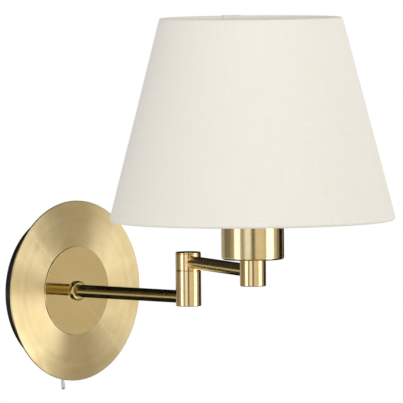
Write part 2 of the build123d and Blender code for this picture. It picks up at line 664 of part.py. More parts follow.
# ================================================================ upper arm and head
with BuildPart() as arm_tube_upper:
    with BuildSketch(UPPER_ARM.offset(TUBE_INSET)):
        Circle(TUBE_DIA / 2)
        Circle(TUBE_BORE / 2, mode=Mode.SUBTRACT)
    extrude(amount=UPPER_REACH - 2 * TUBE_INSET)
arm_tube_upper.part.label = "arm_tube_upper"
export_step(arm_tube_upper.part, "parts/arm_tube_upper.step")

NIPPLE_FROM = 33.4
NIPPLE_TO = 46.5
HEAD_BORE_FROM = 20.0
with BuildPart() as head_block:
    with BuildSketch(HEAD.offset(HEAD_BOTTOM)):
        Circle(KNUCKLE_DIA / 2)
    extrude(amount=HEAD_TOP - HEAD_BOTTOM)
    fillet(head_block.edges().group_by(Axis.Z)[0], KNUCKLE_EDGE)
    chamfer(head_block.edges().group_by(Axis.Z)[-1], FINE_BREAK)
    with BuildSketch(HEAD.offset(HEAD_BORE_FROM)):
        Circle(SPINDLE_DIA / 2)
    extrude(amount=HEAD_TOP - HEAD_BORE_FROM, mode=Mode.SUBTRACT)
    with BuildSketch(UPPER_ARM.offset(UPPER_REACH - KNUCKLE_DIA)):
        Circle(TUBE_DIA / 2)
    extrude(amount=KNUCKLE_DIA - TUBE_INSET, mode=Mode.SUBTRACT)
    with BuildSketch(UPPER_ARM.offset(UPPER_REACH - TUBE_INSET)):
        Circle(TUBE_BORE / 2)
    extrude(amount=TUBE_INSET, mode=Mode.SUBTRACT)
head_block.part.label = "head_block"
export_step(head_block.part, "parts/head_block.step")

with BuildPart() as head_nipple:
    with BuildSketch(HEAD.offset(NIPPLE_FROM)):
        Circle(SPINDLE_DIA / 2)
        Circle(SPINDLE_BORE / 2, mode=Mode.SUBTRACT)
    extrude(amount=NIPPLE_TO - NIPPLE_FROM)
head_nipple.part.label = "head_nipple"
export_step(head_nipple.part, "parts/head_nipple.step")

# Spun brass cup that hides the lampholder.
CUP_EDGE = 1.6
with BuildPart() as socket_cup:
    with BuildSketch(HEAD.offset(HEAD_TOP)):
        Circle(CUP_DIA / 2)
    extrude(amount=CUP_TOP - HEAD_TOP)
    fillet(socket_cup.edges().group_by(Axis.Z)[0], CUP_EDGE)
    offset(amount=-CUP_WALL, openings=socket_cup.faces().sort_by(Axis.Z)[-1])
    with BuildSketch(HEAD.offset(HEAD_TOP)):
        Circle(SPINDLE_DIA / 2 + CLEAR)
    extrude(amount=CUP_WALL, mode=Mode.SUBTRACT)
socket_cup.part.label = "socket_cup"
export_step(socket_cup.part, "parts/socket_cup.step")

cup_floor = HEAD_TOP + CUP_WALL
with BuildPart() as cup_nut:
    with BuildSketch(HEAD.offset(cup_floor)):
        RegularPolygon(NUT_ACROSS_FLATS / 2, 6, major_radius=False)
        Circle(SPINDLE_DIA / 2, mode=Mode.SUBTRACT)
    extrude(amount=NUT_THICK)
cup_nut.part.label = "cup_nut"
export_step(cup_nut.part, "parts/cup_nut.step")

# ================================================================ lampholder
BASE_FROM = 42.0
BASE_TO = 58.0
BASE_RADIUS = 18.6
BASE_WALL = 2.0
BASE_SLOPE = 4.0
BASE_FLOOR = 3.0
INSERT_FROM = 50.0
INSERT_TO = 64.0
SHELL_RADIUS = 13.9
SHELL_WALL = 0.4
SHELL_TO = 88.0
SLEEVE_TO = 94.0
SLEEVE_CORE = 19.0
SLEEVE_CREST = 20.0
SLEEVE_BORE = 15.6
SLEEVE_LIP = 1.0
INSERT_SLACK = 0.4
WIRE_PORT_CIRCLE = 10.5
WIRE_PORT_DIA = 3.2
WIRE_PORT_DEPTH = 6.0
THREAD_FROM = 68.0
THREAD_PITCH = 2.5
THREAD_TURNS = 10

with BuildPart() as lampholder_base:
    with BuildSketch(HEAD_SECTION):
        with BuildLine():
            Polyline(
                (SPINDLE_DIA / 2, BASE_FROM),
                (BASE_RADIUS - BASE_SLOPE, BASE_FROM),
                (BASE_RADIUS, BASE_FROM + BASE_SLOPE),
                (BASE_RADIUS, BASE_TO),
                (BASE_RADIUS - BASE_WALL, BASE_TO),
                (BASE_RADIUS - BASE_WALL, BASE_FROM + BASE_FLOOR + BASE_WALL),
                (BASE_RADIUS - BASE_WALL - BASE_FLOOR, BASE_FROM + BASE_FLOOR),
                (SPINDLE_DIA / 2, BASE_FROM + BASE_FLOOR),
                close=True,
            )
        make_face()
    revolve(axis=HEAD_AXIS)
lampholder_base.part.label = "lampholder_base"
export_step(lampholder_base.part, "parts/lampholder_base.step")

with BuildPart() as lampholder_insert:
    with BuildSketch(HEAD.offset(INSERT_FROM)):
        Circle(SLEEVE_BORE - INSERT_SLACK)
    extrude(amount=INSERT_TO - INSERT_FROM)
    chamfer(lampholder_insert.edges().group_by(Axis.Z)[0], SLEEVE_LIP)
    with BuildSketch(HEAD.offset(INSERT_FROM)):
        with PolarLocations(WIRE_PORT_CIRCLE, 2):
            Circle(WIRE_PORT_DIA / 2)
    extrude(amount=WIRE_PORT_DEPTH, mode=Mode.SUBTRACT)
lampholder_insert.part.label = "lampholder_insert"
export_step(lampholder_insert.part, "parts/lampholder_insert.step")

CONTACT_THICK = 0.4
CONTACT_LENGTH = 15.0
CONTACT_WIDTH = 5.0
DIMPLE_DIA = 4.4
with BuildPart() as centre_contact:
    with BuildSketch(HEAD.offset(INSERT_TO)):
        SlotOverall(CONTACT_LENGTH, CONTACT_WIDTH)
    extrude(amount=CONTACT_THICK)
    with BuildSketch(HEAD.offset(INSERT_TO + CONTACT_THICK)):
        Circle(DIMPLE_DIA / 2)
    extrude(amount=BULB_TIP - INSERT_TO - CONTACT_THICK, taper=20)
centre_contact.part.label = "centre_contact"
export_step(centre_contact.part, "parts/centre_contact.step")

with BuildPart() as lampholder_shell:
    with BuildSketch(HEAD.offset(INSERT_TO)):
        Circle(SHELL_RADIUS)
        Circle(SHELL_RADIUS - SHELL_WALL, mode=Mode.SUBTRACT)
    extrude(amount=SHELL_TO - INSERT_TO)
lampholder_shell.part.label = "lampholder_shell"
export_step(lampholder_shell.part, "parts/lampholder_shell.step")

# Outer sleeve, with the coarse outside thread that takes the shade ring.
with BuildPart() as lampholder_sleeve:
    with BuildSketch(HEAD_SECTION):
        with BuildLine():
            Polyline(
                (SLEEVE_CORE, THREAD_FROM),
                (SLEEVE_CORE, BASE_TO),
                (SLEEVE_BORE, BASE_TO),
                (SLEEVE_BORE, SLEEVE_TO - 3 * SLEEVE_LIP),
                (SLEEVE_BORE - SLEEVE_LIP, SLEEVE_TO - 2 * SLEEVE_LIP),
                (SLEEVE_BORE - SLEEVE_LIP, SLEEVE_TO),
                (SLEEVE_CORE, SLEEVE_TO),
                (SLEEVE_CORE, THREAD_FROM + THREAD_TURNS * THREAD_PITCH),
            )
            for turn in range(THREAD_TURNS):
                low = THREAD_FROM + turn * THREAD_PITCH
                Polyline(
                    (SLEEVE_CORE, low),
                    (SLEEVE_CREST, low + 0.35 * THREAD_PITCH),
                    (SLEEVE_CREST, low + 0.65 * THREAD_PITCH),
                    (SLEEVE_CORE, low + THREAD_PITCH),
                )
        make_face()
    revolve(axis=HEAD_AXIS)
lampholder_sleeve.part.label = "lampholder_sleeve"
export_step(lampholder_sleeve.part, "parts/lampholder_sleeve.step")

# ================================================================ shade and its frame
FITTER_THICK = 1.5
FITTER_RADIUS = 27.0
RING_THICK = 5.0
RING_RADIUS = 25.0
RING_NOTCHES = 16
RING_NOTCH_RADIUS = 1.1
WIRE_INSET = 0.4
wire = FRAME_WIRE_DIA / 2
wire_gap = (wire + CLEAR) / cos(SHADE_LEAN)
skin = (FABRIC_THICK + LINER_THICK) / cos(SHADE_LEAN)
bottom_wire_z = SHADE_BOTTOM + wire + WIRE_INSET
top_wire_z = SHADE_BOTTOM + SHADE_HEIGHT - wire - WIRE_INSET
bottom_wire_radius = shade_radius(bottom_wire_z) - skin - wire_gap
top_wire_radius = shade_radius(top_wire_z) - skin - wire_gap

with BuildPart() as shade_ring:
    with BuildSketch(HEAD.offset(CUP_TOP + FITTER_THICK)):
        Circle(RING_RADIUS)
        Circle(SLEEVE_CREST + CLEAR, mode=Mode.SUBTRACT)
        with PolarLocations(RING_RADIUS, RING_NOTCHES):
            Circle(RING_NOTCH_RADIUS, mode=Mode.SUBTRACT)
    extrude(amount=RING_THICK)
shade_ring.part.label = "shade_ring"
export_step(shade_ring.part, "parts/shade_ring.step")

with BuildPart() as shade_bottom_wire:
    with BuildSketch(HEAD_SECTION):
        with Locations((bottom_wire_radius, bottom_wire_z)):
            Circle(wire)
    revolve(axis=HEAD_AXIS)
shade_bottom_wire.part.label = "shade_bottom_wire"
export_step(shade_bottom_wire.part, "parts/shade_bottom_wire.step")

with BuildPart() as shade_top_wire:
    with BuildSketch(HEAD_SECTION):
        with Locations((top_wire_radius, top_wire_z)):
            Circle(wire)
    revolve(axis=HEAD_AXIS)
shade_top_wire.part.label = "shade_top_wire"
export_step(shade_top_wire.part, "parts/shade_top_wire.step")

# Spider: a flat ring that lies on the cup's rim, and three arms down to the bottom wire.
SPIDER_ARMS = 3
SPIDER_INNER = 25.6
SPIDER_TURN = 90
spider_level = CUP_TOP + FITTER_THICK / 2
spider_drop = bottom_wire_z - spider_level
spider_run = bottom_wire_radius - SPIDER_INNER
with BuildPart() as shade_spider:
    with BuildSketch(HEAD.offset(CUP_TOP)):
        Circle(FITTER_RADIUS)
        Circle(SLEEVE_CREST + 4 * CLEAR, mode=Mode.SUBTRACT)
    extrude(amount=FITTER_THICK)
    for arm in range(SPIDER_ARMS):
        outward = arm_direction.rotate(Axis.Z, SPIDER_TURN + arm * 360 / SPIDER_ARMS)
        inner_end = head_point + outward * SPIDER_INNER + Vector(0, 0, spider_level)
        slope = outward * spider_run + Vector(0, 0, spider_drop)
        with BuildSketch(Plane(origin=inner_end, z_dir=slope)):
            Circle(wire)
        extrude(amount=slope.length)
    with BuildSketch(HEAD_SECTION):
        with Locations((bottom_wire_radius, bottom_wire_z)):
            Circle(wire)
    revolve(axis=HEAD_AXIS, mode=Mode.SUBTRACT)
shade_spider.part.label = "shade_spider"
export_step(shade_spider.part, "parts/shade_spider.step")


def cone_skin(outside, inside):
    """Closed section of a conical skin between two distances inside the shade's surface."""
    top = SHADE_BOTTOM + SHADE_HEIGHT
    far = outside / cos(SHADE_LEAN)
    near = inside / cos(SHADE_LEAN)
    Polyline(
        (shade_radius(SHADE_BOTTOM) - far, SHADE_BOTTOM),
        (shade_radius(top) - far, top),
        (shade_radius(top) - near, top),
        (shade_radius(SHADE_BOTTOM) - near, SHADE_BOTTOM),
        close=True,
    )


with BuildPart() as shade_fabric:
    with BuildSketch(HEAD_SECTION):
        with BuildLine():
            cone_skin(0, FABRIC_THICK)
        make_face()
    revolve(axis=HEAD_AXIS)
shade_fabric.part.label = "shade_fabric"
export_step(shade_fabric.part, "parts/shade_fabric.step")

with BuildPart() as shade_liner:
    with BuildSketch(HEAD_SECTION):
        with BuildLine():
            cone_skin(FABRIC_THICK, FABRIC_THICK + LINER_THICK)
        make_face()
    revolve(axis=HEAD_AXIS)
shade_liner.part.label = "shade_liner"
export_step(shade_liner.part, "parts/shade_liner.step")

# ================================================================ bulb
CAP_RADIUS = 13.1
CAP_ROOT = 12.4
CAP_BORE = 11.8
CAP_TURNS = 5
CAP_PITCH = 3.6
GLASS_WALL = 1.0
NECK_RADIUS = 13.5
CAP_RISE = 4.3
CAP_LENGTH = 22.0
CAP_LIP = 0.2
CAP_LIP_TALL = 2.0
TIP_RADIUS = 4.8
TIP_TALL = 1.0
cap_low = BULB_TIP + CAP_RISE
cap_high = cap_low + CAP_LENGTH
globe_centre = BULB_TIP + BULB_LENGTH - BULB_DIA / 2

with BuildPart() as bulb_cap:
    with BuildSketch(HEAD_SECTION):
        with BuildLine():
            Polyline(
                (CAP_ROOT, cap_low),
                (CAP_BORE, cap_low),
                (CAP_BORE, cap_high),
                (CAP_RADIUS + CAP_LIP, cap_high),
                (CAP_RADIUS + CAP_LIP, cap_high - CAP_LIP_TALL),
                (CAP_ROOT, cap_low + CAP_TURNS * CAP_PITCH),
            )
            for turn in range(CAP_TURNS):
                low = cap_low + turn * CAP_PITCH
                ThreePointArc(
                    (CAP_ROOT, low),
                    (CAP_RADIUS, low + CAP_PITCH / 2),
                    (CAP_ROOT, low + CAP_PITCH),
                )
        make_face()
    revolve(axis=HEAD_AXIS)
bulb_cap.part.label = "bulb_cap"
export_step(bulb_cap.part, "parts/bulb_cap.step")

with BuildPart() as bulb_contact:
    with BuildSketch(HEAD_SECTION):
        with BuildLine():
            Polyline(
                (0, BULB_TIP),
                (TIP_RADIUS - EDGE_BREAK, BULB_TIP),
                (TIP_RADIUS, BULB_TIP + TIP_TALL),
                (TIP_RADIUS + TIP_TALL, BULB_TIP + TIP_TALL + EDGE_BREAK),
                (CAP_BORE, cap_low),
                (CAP_BORE, cap_low + TIP_TALL),
                (0, cap_low + TIP_TALL),
                close=True,
            )
        make_face()
    revolve(axis=HEAD_AXIS)
bulb_contact.part.label = "bulb_contact"
export_step(bulb_contact.part, "parts/bulb_contact.step")


def globe_outline(inset):
    """Half outline of the glass: a hollow neck arc that runs tangent into the round globe."""
    globe = BULB_DIA / 2 - inset
    neck = NECK_RADIUS - inset
    rise = globe_centre - cap_high
    sweep_radius = (neck**2 + rise**2 - globe**2) / (2 * (globe - neck))
    span = hypot(neck + sweep_radius, rise)
    join = (globe * (neck + sweep_radius) / span, globe_centre - globe * rise / span)
    turn = atan(rise / (neck + sweep_radius)) / 2
    bend = (neck + sweep_radius - sweep_radius * cos(turn), cap_high + sweep_radius * sin(turn))
    half = (radians(90) - 2 * turn) / 2
    bulge = (globe * cos(half), globe_centre + globe * sin(half))
    crown = (0, globe_centre + globe)
    Line((0, cap_high), (neck, cap_high))
    ThreePointArc((neck, cap_high), bend, join)
    ThreePointArc(join, bulge, crown)
    Line(crown, (0, cap_high))


with BuildPart() as bulb_glass:
    with BuildSketch(HEAD_SECTION):
        with BuildLine():
            globe_outline(0)
        make_face()
    revolve(axis=HEAD_AXIS)
    with BuildSketch(HEAD_SECTION):
        with BuildLine():
            globe_outline(GLASS_WALL)
        make_face()
    revolve(axis=HEAD_AXIS, mode=Mode.SUBTRACT)
bulb_glass.part.label = "bulb_glass"
export_step(bulb_glass.part, "parts/bulb_glass.step")

# ================================================================ leads inside the lamp
# The arm's leads meet end to end on the elbow's axis; the switch and earth have short ones.
seam_middle = SEAM + SEAM_GAP / 2
lower_route = [
    (0, -POLE_OUT, BLOCK_BOTTOM),
    (0, -POLE_OUT, 0),
    (0, -ELBOW_OUT, 0),
    (0, -ELBOW_OUT, seam_middle),
]
upper_route = [
    elbow_point + Vector(0, 0, seam_middle),
    elbow_point + Vector(0, 0, UPPER_AXIS),
    head_point + Vector(0, 0, UPPER_AXIS),
    head_point + Vector(0, 0, INSERT_FROM),
]
with BuildPart() as lead_lower:
    with BuildLine() as lower_path:
        FilletPolyline(*lower_route, radius=LEAD_BEND)
    with BuildSketch(Plane(origin=lower_route[0], z_dir=(0, 0, -1))):
        Circle(LEAD_DIA / 2)
    sweep(path=lower_path.wire())
lead_lower.part.label = "lead_lower"
export_step(lead_lower.part, "parts/lead_lower.step")

with BuildPart() as lead_upper:
    with BuildLine() as upper_path:
        FilletPolyline(*upper_route, radius=LEAD_BEND)
    with BuildSketch(Plane(origin=upper_route[0], z_dir=(0, 0, 1))):
        Circle(LEAD_DIA / 2)
    sweep(path=upper_path.wire())
lead_upper.part.label = "lead_upper"
export_step(lead_upper.part, "parts/lead_upper.step")

switch_tag_top = switch_face + SWITCH_TALL + TAG_TALL
switch_route = [
    (POLE_PITCH, -POLE_OUT, BLOCK_BOTTOM),
    (16, -POLE_OUT, 6),
    (15, -POLE_OUT, -18),
    Vector(TAG_PITCH, -SWITCH_OUT, -32).rotate(Axis.Y, SWITCH_SIDE),
    Vector(TAG_PITCH, -SWITCH_OUT, switch_tag_top).rotate(Axis.Y, SWITCH_SIDE),
]
earth_route = [
    (-POLE_PITCH, -POLE_OUT, BLOCK_BOTTOM),
    (-14, -POLE_OUT, 15),
    (EARTH_X, -3.2, 11),
    (EARTH_X, -3.2, EARTH_WASHER_DIA / 2),
]
with BuildPart() as lead_switch:
    with BuildLine() as switch_path:
        FilletPolyline(*switch_route, radius=bend_radii(switch_route))
    with BuildSketch(Plane(origin=switch_route[0], z_dir=switch_path.wire() % 0)):
        Circle(CORE_DIA / 2)
    sweep(path=switch_path.wire())
lead_switch.part.label = "lead_switch"
export_step(lead_switch.part, "parts/lead_switch.step")

with BuildPart() as lead_earth:
    with BuildLine() as earth_path:
        FilletPolyline(*earth_route, radius=bend_radii(earth_route))
    with BuildSketch(Plane(origin=earth_route[0], z_dir=earth_path.wire() % 0)):
        Circle(CORE_DIA / 2)
    sweep(path=earth_path.wire())
lead_earth.part.label = "lead_earth"
export_step(lead_earth.part, "parts/lead_earth.step")

print("elbow", elbow_point, "head", head_point)
print("switch lead radii", [round(radius, 1) for radius in bend_radii(switch_route)])
print("earth lead radii", [round(radius, 1) for radius in bend_radii(earth_route)])
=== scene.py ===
"""Dresses the swing arm wall sconce: lacquered brass, a stretched cloth shade and its works.

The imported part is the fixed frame. Lengths are in metres. The wall is the plane Y = 0, the lamp
stands out from it along -Y, and +Z is up. Azimuth 0 is the way towards -Y, and positive azimuths
lie towards +X.
"""

import json
import logging
import math
from collections.abc import Iterable, Sequence
from dataclasses import dataclass, field
from enum import Enum
from functools import cache

import bmesh
import bpy
from mathutils import Matrix, Vector, noise

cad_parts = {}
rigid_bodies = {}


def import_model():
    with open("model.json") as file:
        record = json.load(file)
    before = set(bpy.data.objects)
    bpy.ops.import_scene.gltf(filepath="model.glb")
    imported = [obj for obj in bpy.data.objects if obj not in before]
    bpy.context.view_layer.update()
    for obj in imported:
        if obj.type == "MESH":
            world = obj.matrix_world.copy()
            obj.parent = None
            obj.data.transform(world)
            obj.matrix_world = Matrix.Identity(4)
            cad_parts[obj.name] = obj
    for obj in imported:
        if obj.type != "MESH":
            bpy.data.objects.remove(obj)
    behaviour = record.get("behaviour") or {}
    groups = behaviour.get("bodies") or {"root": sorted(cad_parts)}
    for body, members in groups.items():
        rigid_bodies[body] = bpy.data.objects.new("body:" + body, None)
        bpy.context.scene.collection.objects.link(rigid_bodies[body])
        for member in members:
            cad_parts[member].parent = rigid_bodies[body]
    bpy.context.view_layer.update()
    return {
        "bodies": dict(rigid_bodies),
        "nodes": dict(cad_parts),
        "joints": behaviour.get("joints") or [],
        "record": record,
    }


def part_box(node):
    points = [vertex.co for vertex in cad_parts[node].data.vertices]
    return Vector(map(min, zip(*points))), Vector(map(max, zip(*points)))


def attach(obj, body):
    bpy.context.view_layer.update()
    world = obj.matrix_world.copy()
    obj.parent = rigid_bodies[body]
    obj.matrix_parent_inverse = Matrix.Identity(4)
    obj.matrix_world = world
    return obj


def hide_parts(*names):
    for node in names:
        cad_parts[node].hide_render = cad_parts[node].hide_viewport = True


MM = 0.001
Colour = tuple[float, float, float]
Socket = bpy.types.NodeSocket
log = logging.getLogger("sconce")


def eased(value: float) -> float:
    """Keeps a value between 0 and 1, and eases it at both ends."""
    held = min(1.0, max(0.0, value))
    return held * held * (3 - 2 * held)


# ---------------------------------------------------------------- places in the frame
@dataclass(frozen=True)
class Envelope:
    """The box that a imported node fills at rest."""

    low: Vector
    high: Vector

    @classmethod
    def of(cls, node: str) -> "Envelope":
        """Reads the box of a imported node."""
        low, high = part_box(node)
        return cls(low, high)

    @property
    def centre(self) -> Vector:
        """Middle of the box."""
        return (self.low + self.high) / 2

    @property
    def radius(self) -> float:
        """Half of the box's width along X."""
        return (self.high.x - self.low.x) / 2


@dataclass(frozen=True)
class Seat:
    """Where a turned piece stands: a point on its axis, the axis, and the side of angle zero."""

    origin: Vector
    axis: Vector
    side: Vector

    @classmethod
    def on_wall(cls) -> "Seat":
        """The wall plate's axis, with heights counted outwards from the wall."""
        return cls(Vector((0, 0, 0)), Vector((0, -1, 0)), Vector((1, 0, 0)))

    @classmethod
    def upright(cls, centre: Vector) -> "Seat":
        """The vertical axis through a point, with heights equal to Z."""
        return cls(Vector((centre.x, centre.y, 0)), Vector((0, 0, 1)), Vector((1, 0, 0)))

    def matrix(self) -> Matrix:
        """Turns the seat's own coordinates into the frame's."""
        across = self.axis.cross(self.side)
        turn = Matrix((self.side, across, self.axis)).transposed().to_4x4()
        return Matrix.Translation(self.origin) @ turn


# ---------------------------------------------------------------- turned work
@dataclass(frozen=True)
class Corner:
    """One corner of a half profile, at a radius and a height, with an optional rounding."""

    radius: float
    height: float
    rounding: float = 0.0


@dataclass
class Outline:
    """Closed half profile of a turned piece."""

    corners: Sequence[Corner]
    arc_step: float = math.radians(11.25)
    support: float = 0.3 * MM

    @classmethod
    def washer(
        cls, bore: float, rim: float, low: float, high: float, edges: Sequence[float]
    ) -> "Outline":
        """A ring or disc; its edges run low bore, low rim, high rim and high bore."""
        places = ((bore, low), (rim, low), (rim, high), (bore, high))
        return cls([Corner(*place, edge) for place, edge in zip(places, edges)])

    def points(self) -> list[Vector]:
        """Runs round the profile, with its roundings as arcs.

        Returns:
            Points with the radius in x and the height in y.
        """
        found: list[Vector] = []
        count = len(self.corners)
        for index, corner in enumerate(self.corners):
            here = Vector((corner.radius, corner.height))
            before = self.corners[index - 1]
            after = self.corners[(index + 1) % count]
            back = Vector((before.radius, before.height)) - here
            ahead = Vector((after.radius, after.height)) - here
            if corner.rounding > 0:
                found += self._arc(here, back, ahead, corner.rounding)
            else:
                found.append(here)
        return found

    def _arc(self, here: Vector, back: Vector, ahead: Vector, rounding: float) -> list[Vector]:
        """Rounds one corner, and holds the flats beside it with a point on each side.

        Args:
            here: The sharp corner.
            back: The way to the corner before it.
            ahead: The way to the corner after it.
            rounding: The arc's radius.

        Returns:
            The arc's points, with the two that hold the flats.
        """
        a, b = back.normalized(), ahead.normalized()
        half = a.angle(b) / 2
        reach = rounding / math.tan(half)
        turn = math.pi - 2 * half
        middle = here + (a + b).normalized() * (rounding / math.sin(half))
        first, last = here + a * reach - middle, here + b * reach - middle
        steps = max(3, math.ceil(turn / self.arc_step))
        arc = []
        for step in range(steps + 1):
            share = step / steps
            lean = math.sin((1 - share) * turn) * first + math.sin(share * turn) * last
            arc.append(middle + lean / math.sin(turn))
        if back.length > reach + 3 * self.support:
            arc.insert(0, here + a * (reach + self.support))
        if ahead.length > reach + 3 * self.support:
            arc.append(here + b * (reach + self.support))
        return arc


@dataclass(frozen=True)
class Flutes:
    """Finger notches round the rim of a turned piece."""

    count: int
    depth: float
    width: float

    def cut(self, angle: float) -> float:
        """Depth of the notches at an angle.

        Args:
            angle: The angle about the axis.

        Returns:
            How far the rim is cut in.
        """
        pitch = 2 * math.pi / self.count
        off = abs((angle + pitch / 2) % pitch - pitch / 2) / self.width
        return self.depth * math.sqrt(1 - off * off) if off < 1 else 0.0


class Lathe:
    """Turns profiles into closed meshes."""

    on_axis = 1e-7
    sharp = math.radians(35)
    uv_name = "turned"

    @classmethod
    def turn(
        cls,
        name: str,
        outline: Outline,
        seat: Seat,
        segments: int = 128,
        flutes: Flutes | None = None,
    ) -> bpy.types.Mesh:
        """Turns an outline about a seat's axis.

        The mesh's own map runs along the profile first, so that its tangent crosses the tool's
        marks.

        Args:
            name: The mesh's name.
            outline: The half profile.
            seat: The axis.
            segments: Facets round the axis.
            flutes: Notches cut in the rim, if there are any.

        Returns:
            The closed mesh, in the frame's coordinates.
        """
        points = outline.points()
        rim = max(point.x for point in points)
        work = bmesh.new()
        rings = []
        for point in points:
            if point.x < cls.on_axis:
                rings.append([work.verts.new((0, 0, point.y))] * segments)
                continue
            ring = []
            for index in range(segments):
                angle = 2 * math.pi * index / segments
                deep = flutes.cut(angle) if flutes and point.x > rim - flutes.depth else 0.0
                radius = point.x - deep
                place = (radius * math.cos(angle), radius * math.sin(angle), point.y)
                ring.append(work.verts.new(place))
            rings.append(ring)
        lengths = [0.0]
        for first, second in zip(points, points[1:] + points[:1]):
            lengths.append(lengths[-1] + (second - first).length)
        uv = work.loops.layers.uv.new(cls.uv_name)
        for row, ring in enumerate(rings):
            cls._band(work, uv, ring, rings[(row + 1) % len(rings)], lengths[row : row + 2])
        bmesh.ops.recalc_face_normals(work, faces=work.faces)
        mesh = bpy.data.meshes.new(name)
        work.to_mesh(mesh)
        work.free()
        mesh.transform(seat.matrix())
        return cls.smoothed(mesh)

    @staticmethod
    def _band(
        work: bmesh.types.BMesh, uv: bmesh.types.BMLayerItem, low: list, high: list, span: list
    ) -> None:
        """Joins two rings with faces and writes their map.

        Args:
            work: The mesh being made.
            uv: Its map.
            low: The first ring's vertices.
            high: The second ring's vertices.
            span: The running length of the profile at both rings.
        """
        count = len(low)
        for index in range(count):
            following = (index + 1) % count
            loop = [low[index], high[index], high[following], low[following]]
            places = [(0, index), (1, index), (1, index + 1), (0, index + 1)]
            kept, where = [], []
            for vertex, place in zip(loop, places):
                if vertex not in kept:
                    kept.append(vertex)
                    where.append(place)
            if len(kept) < 3:
                continue
            face = work.faces.new(kept)
            for corner, (end, turn) in zip(face.loops, where):
                corner[uv].uv = (span[end], turn / count)

    @classmethod
    def smoothed(cls, mesh: bpy.types.Mesh) -> bpy.types.Mesh:
        """Shades a mesh smoothly, apart from its sharp edges.

        Args:
            mesh: The mesh.

        Returns:
            The same mesh.
        """
        mesh.shade_smooth()
        mesh.set_sharp_from_angle(angle=cls.sharp)
        return mesh


def joined(name: str, meshes: Iterable[bpy.types.Mesh]) -> bpy.types.Mesh:
    """Puts several meshes into one.

    Args:
        name: The new mesh's name.
        meshes: The meshes, in the same coordinates.

    Returns:
        One mesh.
    """
    work = bmesh.new()
    for mesh in meshes:
        work.from_mesh(mesh)
    made = bpy.data.meshes.new(name)
    work.to_mesh(made)
    work.free()
    return Lathe.smoothed(made)


def loose(name: str, mesh: bpy.types.Mesh) -> bpy.types.Object:
    """Links a mesh as a helper; the caller removes it.

    Args:
        name: The object's name.
        mesh: Its mesh.

    Returns:
        The object.
    """
    part = bpy.data.objects.new(name, mesh)
    bpy.context.scene.collection.objects.link(part)
    return part


def applied(part: bpy.types.Object) -> bpy.types.Mesh:
    """The mesh that an object's modifiers make."""
    graph = bpy.context.evaluated_depsgraph_get()
    return bpy.data.meshes.new_from_object(part.evaluated_get(graph), depsgraph=graph)


# ---------------------------------------------------------------- node wiring
class Wiring:
    """Adds and joins nodes in one tree."""

    mix_inputs = {"FLOAT": (0, 2, 3), "RGBA": (0, 6, 7)}
    mix_output = {"FLOAT": 0, "RGBA": 2}

    def __init__(self, tree: bpy.types.NodeTree) -> None:
        """Takes the tree to be wired."""
        self.tree = tree

    def add(self, kind: str, **values: object) -> bpy.types.Node:
        """Adds a node and sets it up.

        Args:
            kind: The node's type name.
            values: Its properties by name, and its inputs by names that start with a capital
                and have underscores for spaces.

        Returns:
            The node.
        """
        node = self.tree.nodes.new(kind)
        for name, value in values.items():
            if name[0].isupper():
                self.feed(node.inputs[name.replace("_", " ")], value)
            else:
                setattr(node, name, value)
        return node

    def feed(self, target: Socket, value: object) -> None:
        """Joins a socket to an input, or sets the input to a value.

        Args:
            target: The input.
            value: A socket, a number, a colour or a vector.
        """
        if isinstance(value, bpy.types.NodeSocket):
            self.tree.links.new(value, target)
        else:
            target.default_value = value

    def maths(self, operation: str, *values: object, clamp: bool = False) -> Socket:
        """Adds a maths node.

        Args:
            operation: Its operation.
            values: Its inputs, as sockets or numbers.
            clamp: Whether the answer is kept between 0 and 1.

        Returns:
            The answer's socket.
        """
        node = self.add("ShaderNodeMath", operation=operation, use_clamp=clamp)
        for target, value in zip(node.inputs, values):
            self.feed(target, value)
        return node.outputs[0]

    def split(self, vector: Socket) -> bpy.types.bpy_prop_collection:
        """Takes a vector apart into its X, Y and Z sockets."""
        return self.add("ShaderNodeSeparateXYZ", Vector=vector).outputs

    def ranged(self, value: object, low: float, high: float, to: tuple[float, float]) -> Socket:
        """Carries a value smoothly from one range into another.

        Args:
            value: The value.
            low: Where the first range starts.
            high: Where it ends.
            to: The second range.

        Returns:
            The new value's socket.
        """
        node = self.add(
            "ShaderNodeMapRange",
            interpolation_type="SMOOTHSTEP",
            Value=value,
            From_Min=low,
            From_Max=high,
            To_Min=to[0],
            To_Max=to[1],
        )
        return node.outputs["Result"]

    def blend(self, share: object, first: object, second: object, kind: str = "RGBA") -> Socket:
        """Mixes two colours or two numbers.

        Args:
            share: How much of the second one shows.
            first: The first one.
            second: The second one.
            kind: RGBA for colours and FLOAT for numbers.

        Returns:
            The mixture's socket.
        """
        node = self.add("ShaderNodeMix", data_type=kind)
        for index, value in zip(self.mix_inputs[kind], (share, first, second)):
            self.feed(node.inputs[index], (*value, 1.0) if isinstance(value, tuple) else value)
        return node.outputs[self.mix_output[kind]]


class Effect(Wiring):
    """A shader node group under construction, with a vector and plain values in and out."""

    def __init__(self, name: str, values: Sequence[str], results: Sequence[str]) -> None:
        """Starts the group with its sockets.

        Args:
            name: The group's name.
            values: Names of the values in, beside the vector.
            results: Names of the values out.
        """
        super().__init__(bpy.data.node_groups.new(name, "ShaderNodeTree"))
        face = self.tree.interface
        face.new_socket("Vector", in_out="INPUT", socket_type="NodeSocketVector")
        for labels, way in ((values, "INPUT"), (results, "OUTPUT")):
            for label in labels:
                face.new_socket(label, in_out=way, socket_type="NodeSocketFloat")
        self.given = self.add("NodeGroupInput").outputs
        self.leave = self.add("NodeGroupOutput")

    def gives(self, **results: Socket) -> bpy.types.NodeTree:
        """Joins the group's results.

        Args:
            results: Sockets by result name.

        Returns:
            The group.
        """
        for label, result in results.items():
            self.feed(self.leave.inputs[label], result)
        return self.tree


